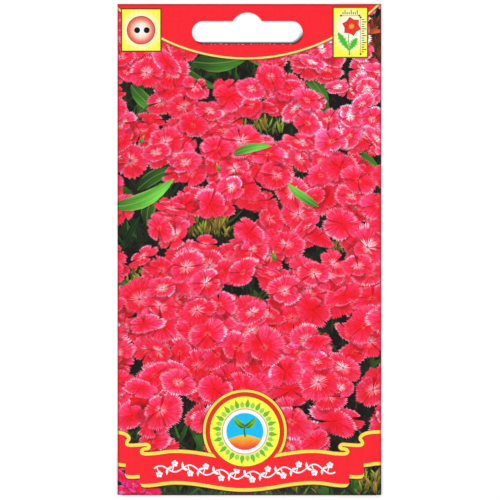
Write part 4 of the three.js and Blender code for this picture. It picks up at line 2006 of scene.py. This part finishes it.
def dried_glue():
    """A thin film of yellowed paste."""
    finish = Finish("dried_paste", 0.4)
    blotches = finish.noise(300, 3)
    paleness = finish.between(blotches, 0.35, 0.65)
    colour = finish.mix(paleness, printed(222, 212, 176), printed(238, 230, 200))
    finish.bump(blotches, 0.1, 0.0001)
    return finish.paint(colour)


def seed_coat():
    """The dull black coat of the seeds, finely wrinkled."""
    finish = Finish("seed_coat", 0.68)
    wrinkles = finish.noise(2400, 4, 0.65)
    colour = finish.mix(finish.between(wrinkles, 0.3, 0.7), printed(22, 18, 16), printed(70, 58, 48))
    finish.bump(wrinkles, 0.5, 0.0001)
    return finish.paint(colour)


def studio_floor():
    """Matt white card."""
    finish = Finish("studio_card", 0.9, 0.1)
    specks = finish.between(finish.noise(200, 2), 0.3, 0.7)
    return finish.paint(finish.mix(specks, (0.9, 0.9, 0.9), (0.905, 0.905, 0.905)))


# ---------------------------------------------------------------- operators

# How far the floor lies under the packet, where the camera aims, and the way to each soft lamp in degrees
FLOOR_DROP = 0.02 * MM
CAMERA_AIM = (0.2 * MM, -0.12 * MM)
CAMERA_SENSOR = 36
LAMPS = (("left_lamp", 180), ("right_lamp", 0), ("top_lamp", 90), ("bottom_lamp", 270))


class SEEDPACKET_OT_sheet(Operator):
    """Print, cut and fold the paper blank of the packet"""

    bl_idname = "seedpacket.sheet"
    bl_label = "Printed sheet"

    def execute(self, context):
        scene = context.scene
        colours = scene.packet_inks
        folding = Folding(scene.packet_sheet)
        slot = HangSlot(scene.packet_slot)
        blank = draw_blank(folding, slot, scene.packet_picture, colours)
        sheet = build_sheet(folding, slot, blank)
        inks = [flat_ink(), petal_ink(colours), leaf_ink(colours), ground_ink(colours)]
        piece = sheet_object("printed_packet", sheet, [*inks, bare_paper(), cut_paper()])
        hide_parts("paper_blank")
        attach(piece, BODY)
        return {"FINISHED"}


class SEEDPACKET_OT_inside(Operator):
    """Finish what the packet holds: the three lines of glue and the seeds"""

    bl_idname = "seedpacket.inside"
    bl_label = "Glue and seeds"

    def execute(self, context):
        glue = dried_glue()
        for name in ("seam_glue", "flap_glue", "closing_glue"):
            dress(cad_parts[name], glue)
        dress(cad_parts["seed_bed"], seed_coat())
        return {"FINISHED"}


def dress(node, material):
    node.data.materials.clear()
    node.data.materials.append(material)


class SEEDPACKET_OT_studio(Operator):
    """Set up the floor, the soft lights and the camera"""

    bl_idname = "seedpacket.studio"
    bl_label = "Studio"

    def execute(self, context):
        studio = context.scene.packet_studio
        make_floor(studio)
        make_lights(context.scene, studio)
        make_camera(context.scene, studio)
        return {"FINISHED"}


def make_floor(studio):
    """A square of card just under the packet."""
    half = studio.floor_size / 2
    mesh = bpy.data.meshes.new("studio_floor")
    corners = [(x, y, -FLOOR_DROP) for x, y in rectangle(-half, -half, half, half)]
    mesh.from_pydata(corners, [], [(0, 1, 2, 3)])
    mesh.materials.append(studio_floor())
    floor = new_object("studio_floor", mesh)


def make_lights(scene, studio):
    """A soft lamp at each side and an even light from everywhere."""
    out = studio.lamp_distance * math.cos(studio.lamp_height)
    up = studio.lamp_distance * math.sin(studio.lamp_height)
    for name, way in LAMPS:
        lamp = bpy.data.lights.new(name, "AREA")
        lamp.energy = studio.lamp_power
        lamp.shape = "SQUARE"
        lamp.size = studio.lamp_size
        holder = new_object(name, lamp)
        angle = math.radians(way)
        holder.location = (out * math.cos(angle), out * math.sin(angle), up)
        holder.rotation_euler = (-holder.location).to_track_quat("-Z", "Y").to_euler()
    world = bpy.data.worlds.new("even_light")
    world.use_nodes = True
    background = world.node_tree.nodes["Background"]
    background.inputs["Color"].default_value = (1, 1, 1, 1)
    background.inputs["Strength"].default_value = studio.room_light
    scene.world = world
    scene.view_settings.view_transform = "Standard"


def make_camera(scene, studio):
    """Straight above the packet, with a long lens."""
    camera = bpy.data.cameras.new("copy_camera")
    camera.lens = studio.lens
    camera.sensor_width = CAMERA_SENSOR
    holder = new_object("copy_camera", camera)
    holder.location = (*CAMERA_AIM, studio.frame_width * studio.lens / camera.sensor_width)
    scene.camera = holder


class SEEDPACKET_PT_panel(Panel):
    """The steps that make the packet, in the sidebar"""

    bl_idname = "SEEDPACKET_PT_panel"
    bl_label = "Seed Packet"
    bl_space_type = "VIEW_3D"
    bl_region_type = "UI"
    bl_category = "Seed Packet"

    def draw(self, context):
        for step in STEPS:
            self.layout.operator(step.bl_idname)
        for name, group in SETTINGS:
            box = self.layout.box()
            for prop in group.__annotations__:
                box.prop(getattr(context.scene, name), prop)


STEPS = (SEEDPACKET_OT_sheet, SEEDPACKET_OT_inside, SEEDPACKET_OT_studio)
SETTINGS = (
    ("packet_sheet", SheetSizes),
    ("packet_slot", SlotSizes),
    ("packet_picture", PictureSettings),
    ("packet_inks", InkColours),
    ("packet_studio", StudioSettings),
)
CLASSES = (*(group for _, group in SETTINGS), *STEPS, SEEDPACKET_PT_panel)


def register():
    for cls in CLASSES:
        bpy.utils.register_class(cls)
    for name, group in SETTINGS:
        setattr(bpy.types.Scene, name, PointerProperty(type=group))


def unregister():
    for name, _ in SETTINGS:
        delattr(bpy.types.Scene, name)
    for cls in reversed(CLASSES):
        bpy.utils.unregister_class(cls)


def main():
    register()
    bpy.ops.seedpacket.sheet()
    bpy.ops.seedpacket.inside()
    bpy.ops.seedpacket.studio()


if __name__ == "__main__":
    main()
